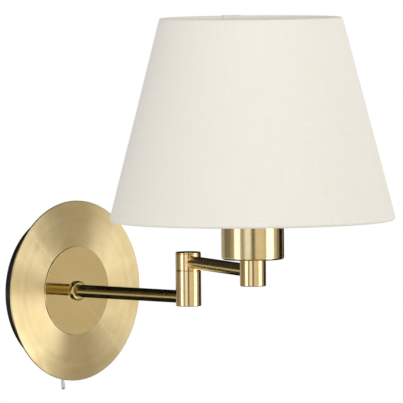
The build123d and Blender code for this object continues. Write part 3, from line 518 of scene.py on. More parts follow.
@cache
def turning_marks() -> bpy.types.NodeTree:
    """Fine rings that a cutting tool leaves round an axis.

    Returns:
        The group: a vector, a choice of axis and a ring pitch in, a height and a tone out.
    """
    marks = Effect("turning_marks", ("Upright", "Pitch"), ("Height", "Tone"))
    parts = marks.split(marks.given["Vector"])
    square = marks.maths("MULTIPLY", parts["X"], parts["X"])
    radial = marks.maths("SQRT", marks.maths("MULTIPLY_ADD", parts["Z"], parts["Z"], square))
    place = marks.blend(marks.given["Upright"], radial, parts["Z"], "FLOAT")
    along = marks.maths("DIVIDE", place, marks.given["Pitch"])
    fine, broad = (
        marks.add("ShaderNodeTexNoise", noise_dimensions="1D", W=along, Scale=scale, Detail=detail)
        for scale, detail in ((1.0, 3.0), (0.12, 2.0))
    )
    tone = marks.maths("MULTIPLY", fine.outputs[0], broad.outputs[0])
    return marks.gives(
        Height=fine.outputs[0], Tone=marks.maths("MULTIPLY", tone, 2.0, clamp=True)
    )


@cache
def handling() -> bpy.types.NodeTree:
    """Cloudy differences that hands and polishing cloths leave.

    Returns:
        The group: a vector and a scale in, a value between 0 and 1 out.
    """
    marks = Effect("handling", ("Scale",), ("Value",))
    cloud = marks.add(
        "ShaderNodeTexNoise",
        Vector=marks.given["Vector"],
        Scale=marks.given["Scale"],
        Detail=5.0,
        Distortion=0.6,
    )
    return marks.gives(Value=marks.ranged(cloud.outputs[0], 0.32, 0.68, (0.0, 1.0)))


@cache
def edge_wear() -> bpy.types.NodeTree:
    """Rubbed edges, broken up by a fine noise.

    Returns:
        The group: a vector and a scale in, a mask out.
    """
    wear = Effect("edge_wear", ("Scale",), ("Mask",))
    shape = wear.add("ShaderNodeNewGeometry")
    proud = wear.ranged(shape.outputs["Pointiness"], 0.53, 0.62, (0.0, 1.0))
    flecks = wear.add(
        "ShaderNodeTexNoise", Vector=wear.given["Vector"], Scale=wear.given["Scale"], Detail=4.0
    )
    broken = wear.ranged(flecks.outputs[0], 0.4, 0.62, (0.0, 1.0))
    return wear.gives(Mask=wear.maths("MULTIPLY", proud, broken))


@cache
def plain_weave() -> bpy.types.NodeTree:
    """Plain weave with uneven threads, on a map whose unit is a metre.

    Returns:
        The group: a vector and a thread pitch in, a height and a tone out.
    """
    cloth = Effect("plain_weave", ("Pitch",), ("Height", "Tone"))
    parts = cloth.split(cloth.given["Vector"])
    threads, slubs = [], []
    for axis, stretch in (("X", (900.0, 28.0, 1.0)), ("Y", (28.0, 900.0, 1.0))):
        along = cloth.maths("DIVIDE", parts[axis], cloth.given["Pitch"])
        wave = cloth.maths("SINE", cloth.maths("MULTIPLY", along, math.pi))
        threads.append(cloth.maths("ABSOLUTE", wave))
        pull = cloth.add("ShaderNodeVectorMath", operation="MULTIPLY")
        cloth.feed(pull.inputs[0], cloth.given["Vector"])
        cloth.feed(pull.inputs[1], stretch)
        slub = cloth.add("ShaderNodeTexNoise", Vector=pull.outputs[0], Scale=1.0, Detail=4.0)
        slubs.append(slub.outputs[0])
    crown = cloth.maths("MAXIMUM", *threads)
    uneven = cloth.maths("ADD", *slubs)
    return cloth.gives(
        Height=cloth.maths("MULTIPLY_ADD", uneven, 0.8, crown),
        Tone=cloth.ranged(uneven, 0.72, 1.28, (0.0, 1.0)),
    )


class Surface(Wiring):
    """A material under construction, with its shader and its own coordinates."""

    def __init__(self, name: str) -> None:
        """Starts a material with one shader.

        Args:
            name: The material's name.
        """
        self.material = bpy.data.materials.new(name)
        self.material.use_nodes = True
        super().__init__(self.material.node_tree)
        self.shader = self.tree.nodes["Principled BSDF"]
        self.own = self.add("ShaderNodeTexCoord").outputs["Object"]

    def effect(self, tree: bpy.types.NodeTree, **values: object) -> bpy.types.NodeOutputs:
        """Places a shared effect, and gives its results by name."""
        return self.add("ShaderNodeGroup", node_tree=tree, Vector=self.own, **values).outputs

    def shade(self, **values: object) -> None:
        """Sets or joins the shader's sockets; an underscore stands for a space.

        Args:
            values: Values or sockets by socket name.
        """
        for name, value in values.items():
            self.feed(self.shader.inputs[name.replace("_", " ")], value)

    def bump(self, height: Socket, depth: float, strength: float = 1.0) -> None:
        """Raises the surface by a height, as deep and as strongly as is said."""
        node = self.add("ShaderNodeBump", Strength=strength, Distance=depth, Height=height)
        self.shade(Normal=node.outputs[0])


# ---------------------------------------------------------------- finishes
class Lay(Enum):
    """The way that a metal's tool marks run."""

    NONE = "polished out"
    ROUND_WALL_AXIS = "rings about the wall plate's axis"
    ROUND_UPRIGHT = "rings about a vertical axis"


@dataclass(frozen=True)
class Metal:
    """A bare or lacquered metal."""

    name: str
    tint: Colour
    deep: Colour
    roughness: float
    spread: float
    lay: Lay = Lay.NONE
    anisotropy: float = 0.0
    mark_pitch: float = 0.25 * MM
    mark_depth: float = 0.0
    coat: float = 0.0

    def material(self) -> bpy.types.Material:
        """Builds the material.

        Returns:
            The finished material.
        """
        surface = Surface(self.name)
        surface.shade(Metallic=1.0, Coat_Weight=self.coat, Coat_Roughness=0.06)
        cloud = surface.effect(handling(), Scale=60.0)["Value"]
        wear = surface.effect(edge_wear(), Scale=900.0)["Mask"]
        rough = surface.maths("MULTIPLY_ADD", cloud, self.spread, self.roughness)
        tone = surface.maths("MULTIPLY", cloud, 0.5)
        if self.lay is not Lay.NONE:
            upright = 1.0 if self.lay is Lay.ROUND_UPRIGHT else 0.0
            marks = surface.effect(turning_marks(), Upright=upright, Pitch=self.mark_pitch)
            if self.mark_depth > 0:
                surface.bump(marks["Height"], self.mark_depth)
            rough = surface.maths("MULTIPLY_ADD", marks["Tone"], self.spread, rough)
            tone = surface.maths("MULTIPLY_ADD", marks["Tone"], 0.5, tone)
        if self.anisotropy > 0:
            lie = surface.add("ShaderNodeTangent", direction_type="UV_MAP", uv_map=Lathe.uv_name)
            surface.shade(Anisotropic=self.anisotropy, Tangent=lie.outputs[0])
        colour = surface.blend(tone, self.tint, self.deep)
        bright = tuple(min(1.0, channel * 1.08) for channel in self.tint)
        surface.shade(Base_Color=surface.blend(wear, colour, bright), Roughness=rough)
        return surface.material


@dataclass(frozen=True)
class Moulded:
    """A moulded, glazed or painted surface."""

    name: str
    tint: Colour
    deep: Colour
    roughness: float
    spread: float = 0.1
    grain_scale: float = 1400.0
    grain_depth: float = 0.02 * MM
    coat: float = 0.0
    specular: float = 0.5

    def material(self) -> bpy.types.Material:
        """Builds the material.

        Returns:
            The finished material.
        """
        surface = Surface(self.name)
        surface.shade(
            Coat_Weight=self.coat, Coat_Roughness=0.08, Specular_IOR_Level=self.specular
        )
        cloud = surface.effect(handling(), Scale=90.0)["Value"]
        grain = surface.effect(handling(), Scale=self.grain_scale)["Value"]
        wear = surface.effect(edge_wear(), Scale=1200.0)["Mask"]
        surface.bump(grain, self.grain_depth, 0.5)
        colour = surface.blend(cloud, self.tint, self.deep)
        lighter = tuple(channel + 0.06 * (1 - channel) for channel in self.tint)
        surface.shade(
            Base_Color=surface.blend(wear, colour, lighter),
            Roughness=surface.maths("MULTIPLY_ADD", cloud, self.spread, self.roughness),
        )
        return surface.material


@dataclass(frozen=True)
class Cloth:
    """Fine shade cloth in a plain weave."""

    name: str
    tint: Colour
    deep: Colour
    thread_pitch: float = 0.42 * MM
    thread_height: float = 0.06 * MM
    uv_name: str = "cloth"

    def material(self) -> bpy.types.Material:
        """Builds the material.

        Returns:
            The finished material.
        """
        surface = Surface(self.name)
        surface.own = surface.add("ShaderNodeUVMap", uv_map=self.uv_name).outputs[0]
        weave = surface.effect(plain_weave(), Pitch=self.thread_pitch)
        surface.bump(weave["Height"], self.thread_height, 0.12)
        surface.shade(
            Sheen_Weight=0.12,
            Sheen_Roughness=0.45,
            Specular_IOR_Level=0.25,
            Base_Color=surface.blend(weave["Tone"], self.deep, self.tint),
            Roughness=surface.maths("MULTIPLY_ADD", weave["Tone"], -0.1, 0.92),
        )
        return surface.material


FINISHES = {
    "plate_brass": Metal(
        "satin_plate_brass", (0.87, 0.66, 0.33), (0.76, 0.54, 0.23), 0.36, 0.03,
        lay=Lay.ROUND_WALL_AXIS, anisotropy=0.93, mark_pitch=0.5 * MM, coat=0.05,
    ),
    "mirror_brass": Metal(
        "mirror_disc_brass", (0.87, 0.65, 0.31), (0.84, 0.62, 0.29), 0.07, 0.02,
        lay=Lay.ROUND_WALL_AXIS, mark_pitch=0.6 * MM, coat=0.1,
    ),
    # The arm tubes' and collar's brass is tinted darker than the knuckles' polished brass. This is
    # partly a rougher satin finish and partly painted shade for the dark surroundings that the
    # level tubes reflect.
    "arm_brass": Metal("dark_arm_brass", (0.60, 0.46, 0.17), (0.54, 0.40, 0.14), 0.21, 0.02),
    "knuckle_brass": Metal(
        "polished_brass", (0.90, 0.655, 0.335), (0.82, 0.57, 0.26), 0.09, 0.03,
        lay=Lay.ROUND_UPRIGHT, mark_pitch=0.3 * MM, mark_depth=0.0006 * MM, coat=0.15,
    ),
    "cup_brass": Metal(
        "satin_cup_brass", (0.87, 0.68, 0.37), (0.77, 0.58, 0.27), 0.14, 0.03,
        lay=Lay.ROUND_UPRIGHT, mark_depth=0.001 * MM, coat=0.1,
    ),
    "plain_brass": Metal("works_brass", (0.80, 0.61, 0.32), (0.62, 0.45, 0.22), 0.28, 0.12),
    "zinc_steel": Metal("zinc_steel", (0.72, 0.73, 0.74), (0.55, 0.56, 0.58), 0.32, 0.15),
    "black_steel": Metal("spring_steel", (0.20, 0.20, 0.21), (0.11, 0.11, 0.12), 0.38, 0.12),
    "nickel": Metal("bright_nickel", (0.56, 0.55, 0.53), (0.46, 0.45, 0.43), 0.08, 0.05),
    "black_moulding": Moulded(
        "black_housing", (0.004, 0.0035, 0.003), (0.007, 0.006, 0.005), 0.42, specular=0.2
    ),
    "switch_moulding": Moulded("switch_black", (0.02, 0.02, 0.022), (0.035, 0.034, 0.034), 0.45),
    "white_moulding": Moulded("terminal_white", (0.80, 0.80, 0.77), (0.70, 0.70, 0.66), 0.45),
    "holder_moulding": Moulded("holder_white", (0.82, 0.81, 0.77), (0.74, 0.72, 0.67), 0.34),
    "white_ceramic": Moulded(
        "glazed_ceramic", (0.86, 0.85, 0.82), (0.78, 0.77, 0.73), 0.16,
        spread=0.05, grain_scale=500.0, grain_depth=0.01 * MM, coat=0.5,
    ),
    "white_wire": Moulded("enamelled_wire", (0.84, 0.83, 0.80), (0.76, 0.75, 0.71), 0.3),
    "shade_cloth": Cloth("shade_cloth", (0.875, 0.845, 0.775), (0.85, 0.82, 0.745)),
    "shade_backing": Moulded("shade_backing", (0.86, 0.85, 0.82), (0.80, 0.79, 0.76), 0.36),
    "opal_glass": Moulded(
        "opal_glass", (0.90, 0.90, 0.88), (0.84, 0.84, 0.82), 0.08,
        spread=0.04, grain_scale=300.0, grain_depth=0.004 * MM, coat=0.6,
    ),
    "lead_sheath": Moulded("lead_sheath", (0.70, 0.70, 0.67), (0.60, 0.60, 0.57), 0.5),
    "core_brown": Moulded("core_brown", (0.11, 0.045, 0.02), (0.08, 0.03, 0.014), 0.42),
    "core_green": Moulded("core_green", (0.10, 0.32, 0.06), (0.42, 0.40, 0.05), 0.42),
}


@cache
def finish(slot: str) -> bpy.types.Material:
    """The material of a slot or of a finish's own name, made the first time it is asked for."""
    return FINISHES[slot].material()


# ---------------------------------------------------------------- geometry node rules
class Rule(Wiring):
    """A geometry node tree that makes a repeating piece from named sizes."""

    def __init__(self, name: str, **inputs: str) -> None:
        """Starts the tree.

        Args:
            name: The tree's name.
            inputs: Socket types by input name.
        """
        super().__init__(bpy.data.node_groups.new(name, "GeometryNodeTree"))
        self.tree.is_modifier = True
        face = self.tree.interface
        face.new_socket("Geometry", in_out="OUTPUT", socket_type="NodeSocketGeometry")
        for label, kind in {"Geometry": "Geometry", **inputs, "Finish": "Material"}.items():
            face.new_socket(label, in_out="INPUT", socket_type="NodeSocket" + kind)
        self.given = self.add("NodeGroupInput").outputs
        self.leave = self.add("NodeGroupOutput")

    def sweep(self, curve: Socket, section: int, radius: Socket, **values: object) -> None:
        """Sweeps a round section along a curve, and closes the tree."""
        circle = self.add(
            "GeometryNodeCurvePrimitiveCircle", Resolution=section, Radius=radius
        ).outputs[0]
        self.end("GeometryNodeCurveToMesh", Curve=curve, Profile_Curve=circle, **values)

    def copy(self, points: Socket, **values: object) -> None:
        """Sets the given part on points, and closes the tree.

        Args:
            points: The points.
            values: More inputs of the copies.
        """
        part = self.add("GeometryNodeObjectInfo", Object=self.given["Part"])
        self.end(
            "GeometryNodeInstanceOnPoints",
            Points=points,
            Instance=part.outputs["Geometry"],
            **values,
        )

    def end(self, kind: str, **values: object) -> None:
        """Adds the last node that makes geometry, and finishes what it gives.

        Args:
            kind: The node's type name.
            values: Its inputs by name.
        """
        made = self.add(kind, **values).outputs[0]
        real = self.add("GeometryNodeRealizeInstances", Geometry=made).outputs[0]
        smooth = self.add("GeometryNodeSetShadeSmooth", Geometry=real).outputs[0]
        dressed = self.add(
            "GeometryNodeSetMaterial", Geometry=smooth, Material=self.given["Finish"]
        )
        self.feed(self.leave.inputs["Geometry"], dressed.outputs[0])

    def grow(self, name: str, slot: str, **values: object) -> bpy.types.Mesh:
        """Runs the tree with its sizes and keeps a plain mesh.

        Args:
            name: The mesh's name.
            slot: The finish's slot.
            values: The tree's inputs by name.

        Returns:
            The mesh, still in the tree's own coordinates.
        """
        holder = loose(name, bpy.data.meshes.new(name + "_seed"))
        modifier = holder.modifiers.new("rule", "NODES")
        modifier.node_group = self.tree
        values["Finish"] = finish(slot)
        for item in self.tree.interface.items_tree:
            if item.in_out == "INPUT" and item.name in values:
                modifier[item.identifier] = values[item.name]
        mesh = applied(holder)
        bpy.data.objects.remove(holder)
        mesh.name = name
        return mesh


@cache
def thread_rule() -> Rule:
    """A round-crested thread: a spiral swept with a round section."""
    rule = Rule("thread_rule", Radius="Float", Turns="Float", Rise="Float", Crest="Float")
    spiral = rule.add(
        "GeometryNodeCurveSpiral",
        Resolution=48,
        Rotations=rule.given["Turns"],
        Start_Radius=rule.given["Radius"],
        End_Radius=rule.given["Radius"],
        Height=rule.given["Rise"],
    )
    rule.sweep(spiral.outputs[0], 8, rule.given["Crest"], Fill_Caps=True)
    return rule


@cache
def hoop_rule() -> Rule:
    """A round hoop of wire."""
    rule = Rule("hoop_rule", Radius="Float", Wire="Float")
    hoop = rule.add(
        "GeometryNodeCurvePrimitiveCircle", Resolution=240, Radius=rule.given["Radius"]
    )
    rule.sweep(hoop.outputs[0], 16, rule.given["Wire"])
    return rule


@cache
def round_rule() -> Rule:
    """Copies of one part, evenly spaced round an axis."""
    rule = Rule("round_rule", Part="Object", Count="Int", Radius="Float")
    ring = rule.add(
        "GeometryNodeMeshCircle", Vertices=rule.given["Count"], Radius=rule.given["Radius"]
    )
    place = rule.add("GeometryNodeInputPosition")
    facing = rule.add(
        "FunctionNodeAlignRotationToVector", axis="X", pivot_axis="Z", Vector=place.outputs[0]
    )
    rule.copy(ring.outputs[0], Rotation=facing.outputs[0])
    return rule


@cache
def grid_rule() -> Rule:
    """Copies of one part on a flat grid."""
    rule = Rule(
        "grid_rule", Part="Object", Columns="Int", Rows="Int", Width="Float", Height="Float"
    )
    grid = rule.add(
        "GeometryNodeMeshGrid",
        Size_X=rule.given["Width"],
        Size_Y=rule.given["Height"],
        Vertices_X=rule.given["Columns"],
        Vertices_Y=rule.given["Rows"],
    )
    rule.copy(grid.outputs[0])
    return rule


class Workshop:
    """Makes pieces from meshes and sets them on the frame."""

    def __init__(self, frame: dict) -> None:
        """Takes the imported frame."""
        self.nodes: dict[str, bpy.types.Object] = frame["nodes"]
        self.count = 0

    def piece(
        self, mesh: bpy.types.Mesh, slot: str, body: str, stands_for: str, own_finish: str = ""
    ) -> bpy.types.Object:
        """Finishes a mesh as a piece of the lamp, with the mesh's name.

        Args:
            mesh: The mesh, in the frame's coordinates.
            slot: The record's slot that it is finished from.
            body: The body that it moves with.
            stands_for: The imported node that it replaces.
            own_finish: A finish of its own, if the slot's isn't the one.

        Returns:
            The piece.
        """
        piece = loose(mesh.name, mesh)
        mesh.materials.clear()
        mesh.materials.append(finish(own_finish or slot))
        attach(piece, body)
        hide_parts(stands_for)
        self.count += 1
        log.info("%s rides on %s", piece.name, body)
        return piece

    def dress(self) -> None:
        """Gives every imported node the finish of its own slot."""
        for node in self.nodes.values():
            for holder in node.material_slots:
                holder.material = finish(holder.material.name.split(".")[0])


# ---------------------------------------------------------------- wall plate
@dataclass
class WallPlate:
    """The satin brass plate, the polished disc on it, and the switch and block hardware."""

    shop: Workshop
    body: str = "wall_mount"
    bore: float = 5.1 * MM
    plate_edge: float = 0.35 * MM
    disc_edge: float = 0.22 * MM
    disc_back_edge: float = 0.05 * MM
    plate_support: float = 0.15 * MM
    dome: float = math.tan(math.radians(4.5))
    screw_radius: float = 1.5 * MM
    screw_slot: float = 0.6 * MM
    slot_depth: float = 0.8 * MM
    screw_pitch: tuple[float, float] = (11 * MM, 9 * MM)
    bush_bore: float = 2.05 * MM
    bush_pitch: float = 0.75 * MM
    bush_crest: float = 0.22 * MM

    def build(self) -> None:
        """Makes every piece of the wall plate that is refined."""
        self._flag()
        self._plates()
        self._terminal_screws()
        self._bush_thread()

    def _flag(self) -> None:
        """Keeps the wall works out of the arms' reflections, as a black flag would."""
        plate = Envelope.of("front_plate")
        for name, node in self.shop.nodes.items():
            mounted = node.parent.name == f"body:{self.body}"
            if mounted and Envelope.of(name).centre.y > plate.low.y:
                node.visible_glossy = False

    def _plates(self) -> None:
        """Turns both brass plates."""
        for node, name, behind, edge, slot in (
            ("front_plate", "brass_wall_plate", self.plate_edge, self.plate_edge, "plate_brass"),
            (
                "centre_plate", "polished_centre_plate", self.disc_back_edge, self.disc_edge,
                "mirror_brass",
            ),
        ):
            box = Envelope.of(node)
            edges = (0, behind, edge, 0)
            outline = Outline.washer(self.bore, box.radius, -box.high.y, -box.low.y, edges)
            outline.support = self.plate_support
            mesh = Lathe.turn(name, outline, Seat.on_wall(), segments=256)
            if node == "front_plate":
                self._pressed(mesh, box.radius)
            self.shop.piece(mesh, slot, self.body, node).visible_glossy = False

    def _pressed(self, mesh: bpy.types.Mesh, rim: float) -> None:
        """Shades the plate's flat face as a faint dome, as pressing leaves it.

        Args:
            mesh: The plate's mesh.
            rim: Its radius.
        """
        facing_out = -0.9
        normals = []
        for loop, corner in zip(mesh.loops, mesh.corner_normals):
            place, normal = mesh.vertices[loop.vertex_index].co, corner.vector.copy()
            if normal.y < facing_out:
                away = Vector((place.x, 0, place.z)) / rim
                normal = (normal + away * self.dome).normalized()
            normals.append(normal)
        mesh.normals_split_custom_set(normals)

    def _terminal_screws(self) -> None:
        """Lays out the terminal block's slotted screws with the grid rule."""
        box = Envelope.of("terminal_screws")
        long = box.high.y - box.low.y
        outline = Outline.washer(0, self.screw_radius, 0, long, (0, 0.1 * MM, 0.2 * MM, 0))
        upright = Seat.upright(Vector((0, 0, 0)))
        screw = loose("screw_pattern", Lathe.turn("screw", outline, upright, segments=32))
        work = bmesh.new()
        bmesh.ops.create_cube(work, size=1.0)
        sizes = (4 * self.screw_radius, self.screw_slot, 2 * self.slot_depth, 1)
        place = Matrix.Translation((0, 0, long)) @ Matrix.Diagonal(sizes)
        bmesh.ops.transform(work, verts=work.verts, matrix=place)
        cutter = bpy.data.meshes.new("slot_cutter")
        work.to_mesh(cutter)
        work.free()
        knife = loose("slot_knife", cutter)
        cut = screw.modifiers.new("slot", "BOOLEAN")
        cut.object = knife
        cut.operation = "DIFFERENCE"
        cut.solver = "EXACT"
        slotted = applied(screw)
        screw.modifiers.clear()
        screw.data = slotted
        mesh = grid_rule().grow(
            "slotted_terminal_screws",
            "plain_brass",
            Part=screw,
            Columns=3,
            Rows=2,
            Width=2 * self.screw_pitch[0],
            Height=self.screw_pitch[1],
        )
        for helper in (screw, knife):
            bpy.data.objects.remove(helper)
        turn = Matrix.Rotation(math.radians(-90), 4, "X")
        mesh.transform(Matrix.Translation((box.centre.x, box.low.y, box.centre.z)) @ turn)
        self.shop.piece(Lathe.smoothed(mesh), "plain_brass", self.body, "terminal_screws")

    def _bush_thread(self) -> None:
        """Gives the toggle switch's bush its outside thread.

        The bush stands radially in the housing, so its length runs from the wall axis outwards.
        """
        box = Envelope.of("switch_bush")
        radius = (box.high.y - box.low.y) / 2
        axis = Vector((box.centre.x, 0, box.centre.z)).normalized()
        long = (box.high.z - box.low.z - 2 * radius * abs(axis.x)) / abs(axis.z)
        crest = self.bush_crest
        root = radius - crest
        seat = Seat(box.centre - axis * long / 2, axis, Vector((0, 1, 0)))
        edges = (0, 0, 0.3 * MM, 0.15 * MM)
        outline = Outline.washer(self.bush_bore, root, 0, long, edges)
        core = Lathe.turn("bush_core", outline, seat, segments=48)
        rise = long - 4 * crest
        thread = thread_rule().grow(
            "bush_thread",
            "nickel",
            Radius=root,
            Turns=rise / self.bush_pitch,
            Rise=rise,
            Crest=crest,
        )
        thread.transform(seat.matrix() @ Matrix.Translation((0, 0, 2 * crest)))
        mesh = joined("threaded_switch_bush", (core, thread))
        self.shop.piece(mesh, "nickel", self.body, "switch_bush")


# ---------------------------------------------------------------- lampholder, cup and bulb
@dataclass
class LampHead:
    """The brass cup, the lampholder's threaded sleeve and the opal bulb."""

    shop: Workshop
    body: str = "swing_arm"
    cup_wall: float = 0.8 * MM
    cup_edge: float = 1.6 * MM
    cup_bore: float = 5.1 * MM
    cup_bore_edge: float = 0.1 * MM
    sleeve_bore: float = 15.6 * MM
    sleeve_lip: float = 1 * MM
    thread_root: float = 1 * MM
    thread_start: float = 10.5 * MM
    thread_rise: float = 24 * MM
    thread_pitch: float = 2.5 * MM
    thread_crest: float = 0.75 * MM
    cap_root: float = 0.9 * MM
    cap_bore: float = 1.5 * MM
    cap_start: float = 1.5 * MM
    cap_rise: float = 15 * MM
    cap_pitch: float = 3.6 * MM
    cap_crest: float = 0.7 * MM
    glass_wall: float = 1.0 * MM
    neck_radius: float = 13.5 * MM

    def build(self) -> None:
        """Makes the cup, the sleeve and the bulb."""
        self._cup()
        self._sleeve()
        self._bulb_cap()
        self._bulb_glass()

    def _cup(self) -> None:
        """Spins the brass cup, with a soft lip at its rim."""
        box = Envelope.of("socket_cup")
        low, high, outer = box.low.z, box.high.z, box.radius
        inner = outer - self.cup_wall
        lip = self.cup_wall / 2 * 0.9
        outline = Outline(
            (
                Corner(self.cup_bore, low, self.cup_bore_edge),
                Corner(outer, low, self.cup_edge),
                Corner(outer, high, lip),
                Corner(inner, high, lip),
                Corner(inner, low + self.cup_wall, self.cup_wall),
                Corner(self.cup_bore, low + self.cup_wall, self.cup_bore_edge),
            )
        )
        mesh = Lathe.turn("spun_brass_cup", outline, Seat.upright(box.centre), segments=192)
        self.shop.piece(mesh, "knuckle_brass", self.body, "socket_cup", "cup_brass")

    def _sleeve(self) -> None:
        """Turns the lampholder's sleeve and winds its outside thread."""
        box = Envelope.of("lampholder_sleeve")
        low, high = box.low.z, box.high.z
        core, bore, lip = box.radius - self.thread_root, self.sleeve_bore, self.sleeve_lip
        outline = Outline(
            (
                Corner(core, low, 0.2 * MM),
                Corner(core, high, 0.5 * MM),
                Corner(bore - lip, high, 0.4 * MM),
                Corner(bore - lip, high - 2 * lip),
                Corner(bore, high - 3 * lip),
                Corner(bore, low),
            )
        )
        body = Lathe.turn("sleeve_core", outline, Seat.upright(box.centre), segments=144)
        thread = thread_rule().grow(
            "sleeve_thread",
            "holder_moulding",
            Radius=box.radius - self.thread_crest,
            Turns=self.thread_rise / self.thread_pitch,
            Rise=self.thread_rise,
            Crest=self.thread_crest,
        )
        start = Vector((box.centre.x, box.centre.y, low + self.thread_start))
        thread.transform(Matrix.Translation(start))
        mesh = joined("threaded_lampholder_sleeve", (body, thread))
        self.shop.piece(mesh, "holder_moulding", self.body, "lampholder_sleeve")

    def _bulb_cap(self) -> None:
        """Rolls the bulb cap's thread."""
        box = Envelope.of("bulb_cap")
        low, high, rim = box.low.z, box.high.z, box.radius
        root, bore = rim - self.cap_root, rim - self.cap_bore
        outline = Outline(
            (
                Corner(bore, low, 0.1 * MM),
                Corner(root, low, 0.1 * MM),
                Corner(root, high - 3 * MM, 0.4 * MM),
                Corner(rim, high - 2 * MM, 0.2 * MM),
                Corner(rim, high, 0.2 * MM),
                Corner(bore, high),
            )
        )
        shell = Lathe.turn("cap_shell", outline, Seat.upright(box.centre), segments=96)
        thread = thread_rule().grow(
            "cap_thread",
            "nickel",
            Radius=root - 0.1 * MM,
            Turns=self.cap_rise / self.cap_pitch,
            Rise=self.cap_rise,
            Crest=self.cap_crest,
        )
        start = Vector((box.centre.x, box.centre.y, low + self.cap_start))
        thread.transform(Matrix.Translation(start))
        self.shop.piece(joined("rolled_bulb_cap", (shell, thread)), "nickel", self.body, "bulb_cap")

    def _bulb_glass(self) -> None:
        """Blows the opal globe: a round top on a hollow neck."""
        box = Envelope.of("bulb_glass")
        outer = self._globe(box, 0.0)
        inner = self._globe(box, self.glass_wall)
        corners = [Corner(point.x, point.y) for point in outer + inner[::-1]]
        mesh = Lathe.turn("opal_bulb", Outline(corners), Seat.upright(box.centre), segments=128)
        self.shop.piece(mesh, "opal_glass", self.body, "bulb_glass")

    def _globe(self, box: Envelope, inset: float) -> list[Vector]:
        """Half outline of the glass, from the neck's foot to the crown.

        Args:
            box: The glass's envelope.
            inset: How far the outline lies inside the outer face.

        Returns:
            Points with the radius in x and the height in y.
        """
        neck_steps, globe_steps = 24, 48
        globe = box.radius - inset
        neck = self.neck_radius - inset
        middle = box.high.z - box.radius
        rise = middle - box.low.z
        hollow = (neck**2 + rise**2 - globe**2) / (2 * (globe - neck))
        turn = math.atan(rise / (neck + hollow))
        points = []
        for step in range(neck_steps):
            angle = turn * step / neck_steps
            level = box.low.z + inset + hollow * math.sin(angle) * (1 - inset / rise)
            points.append(Vector((neck + hollow - hollow * math.cos(angle), level)))
        for step in range(globe_steps + 1):
            angle = -turn + (math.pi / 2 + turn) * step / globe_steps
            points.append(Vector((globe * math.cos(angle), middle + globe * math.sin(angle))))
        points[-1].x = 0.0
        return points


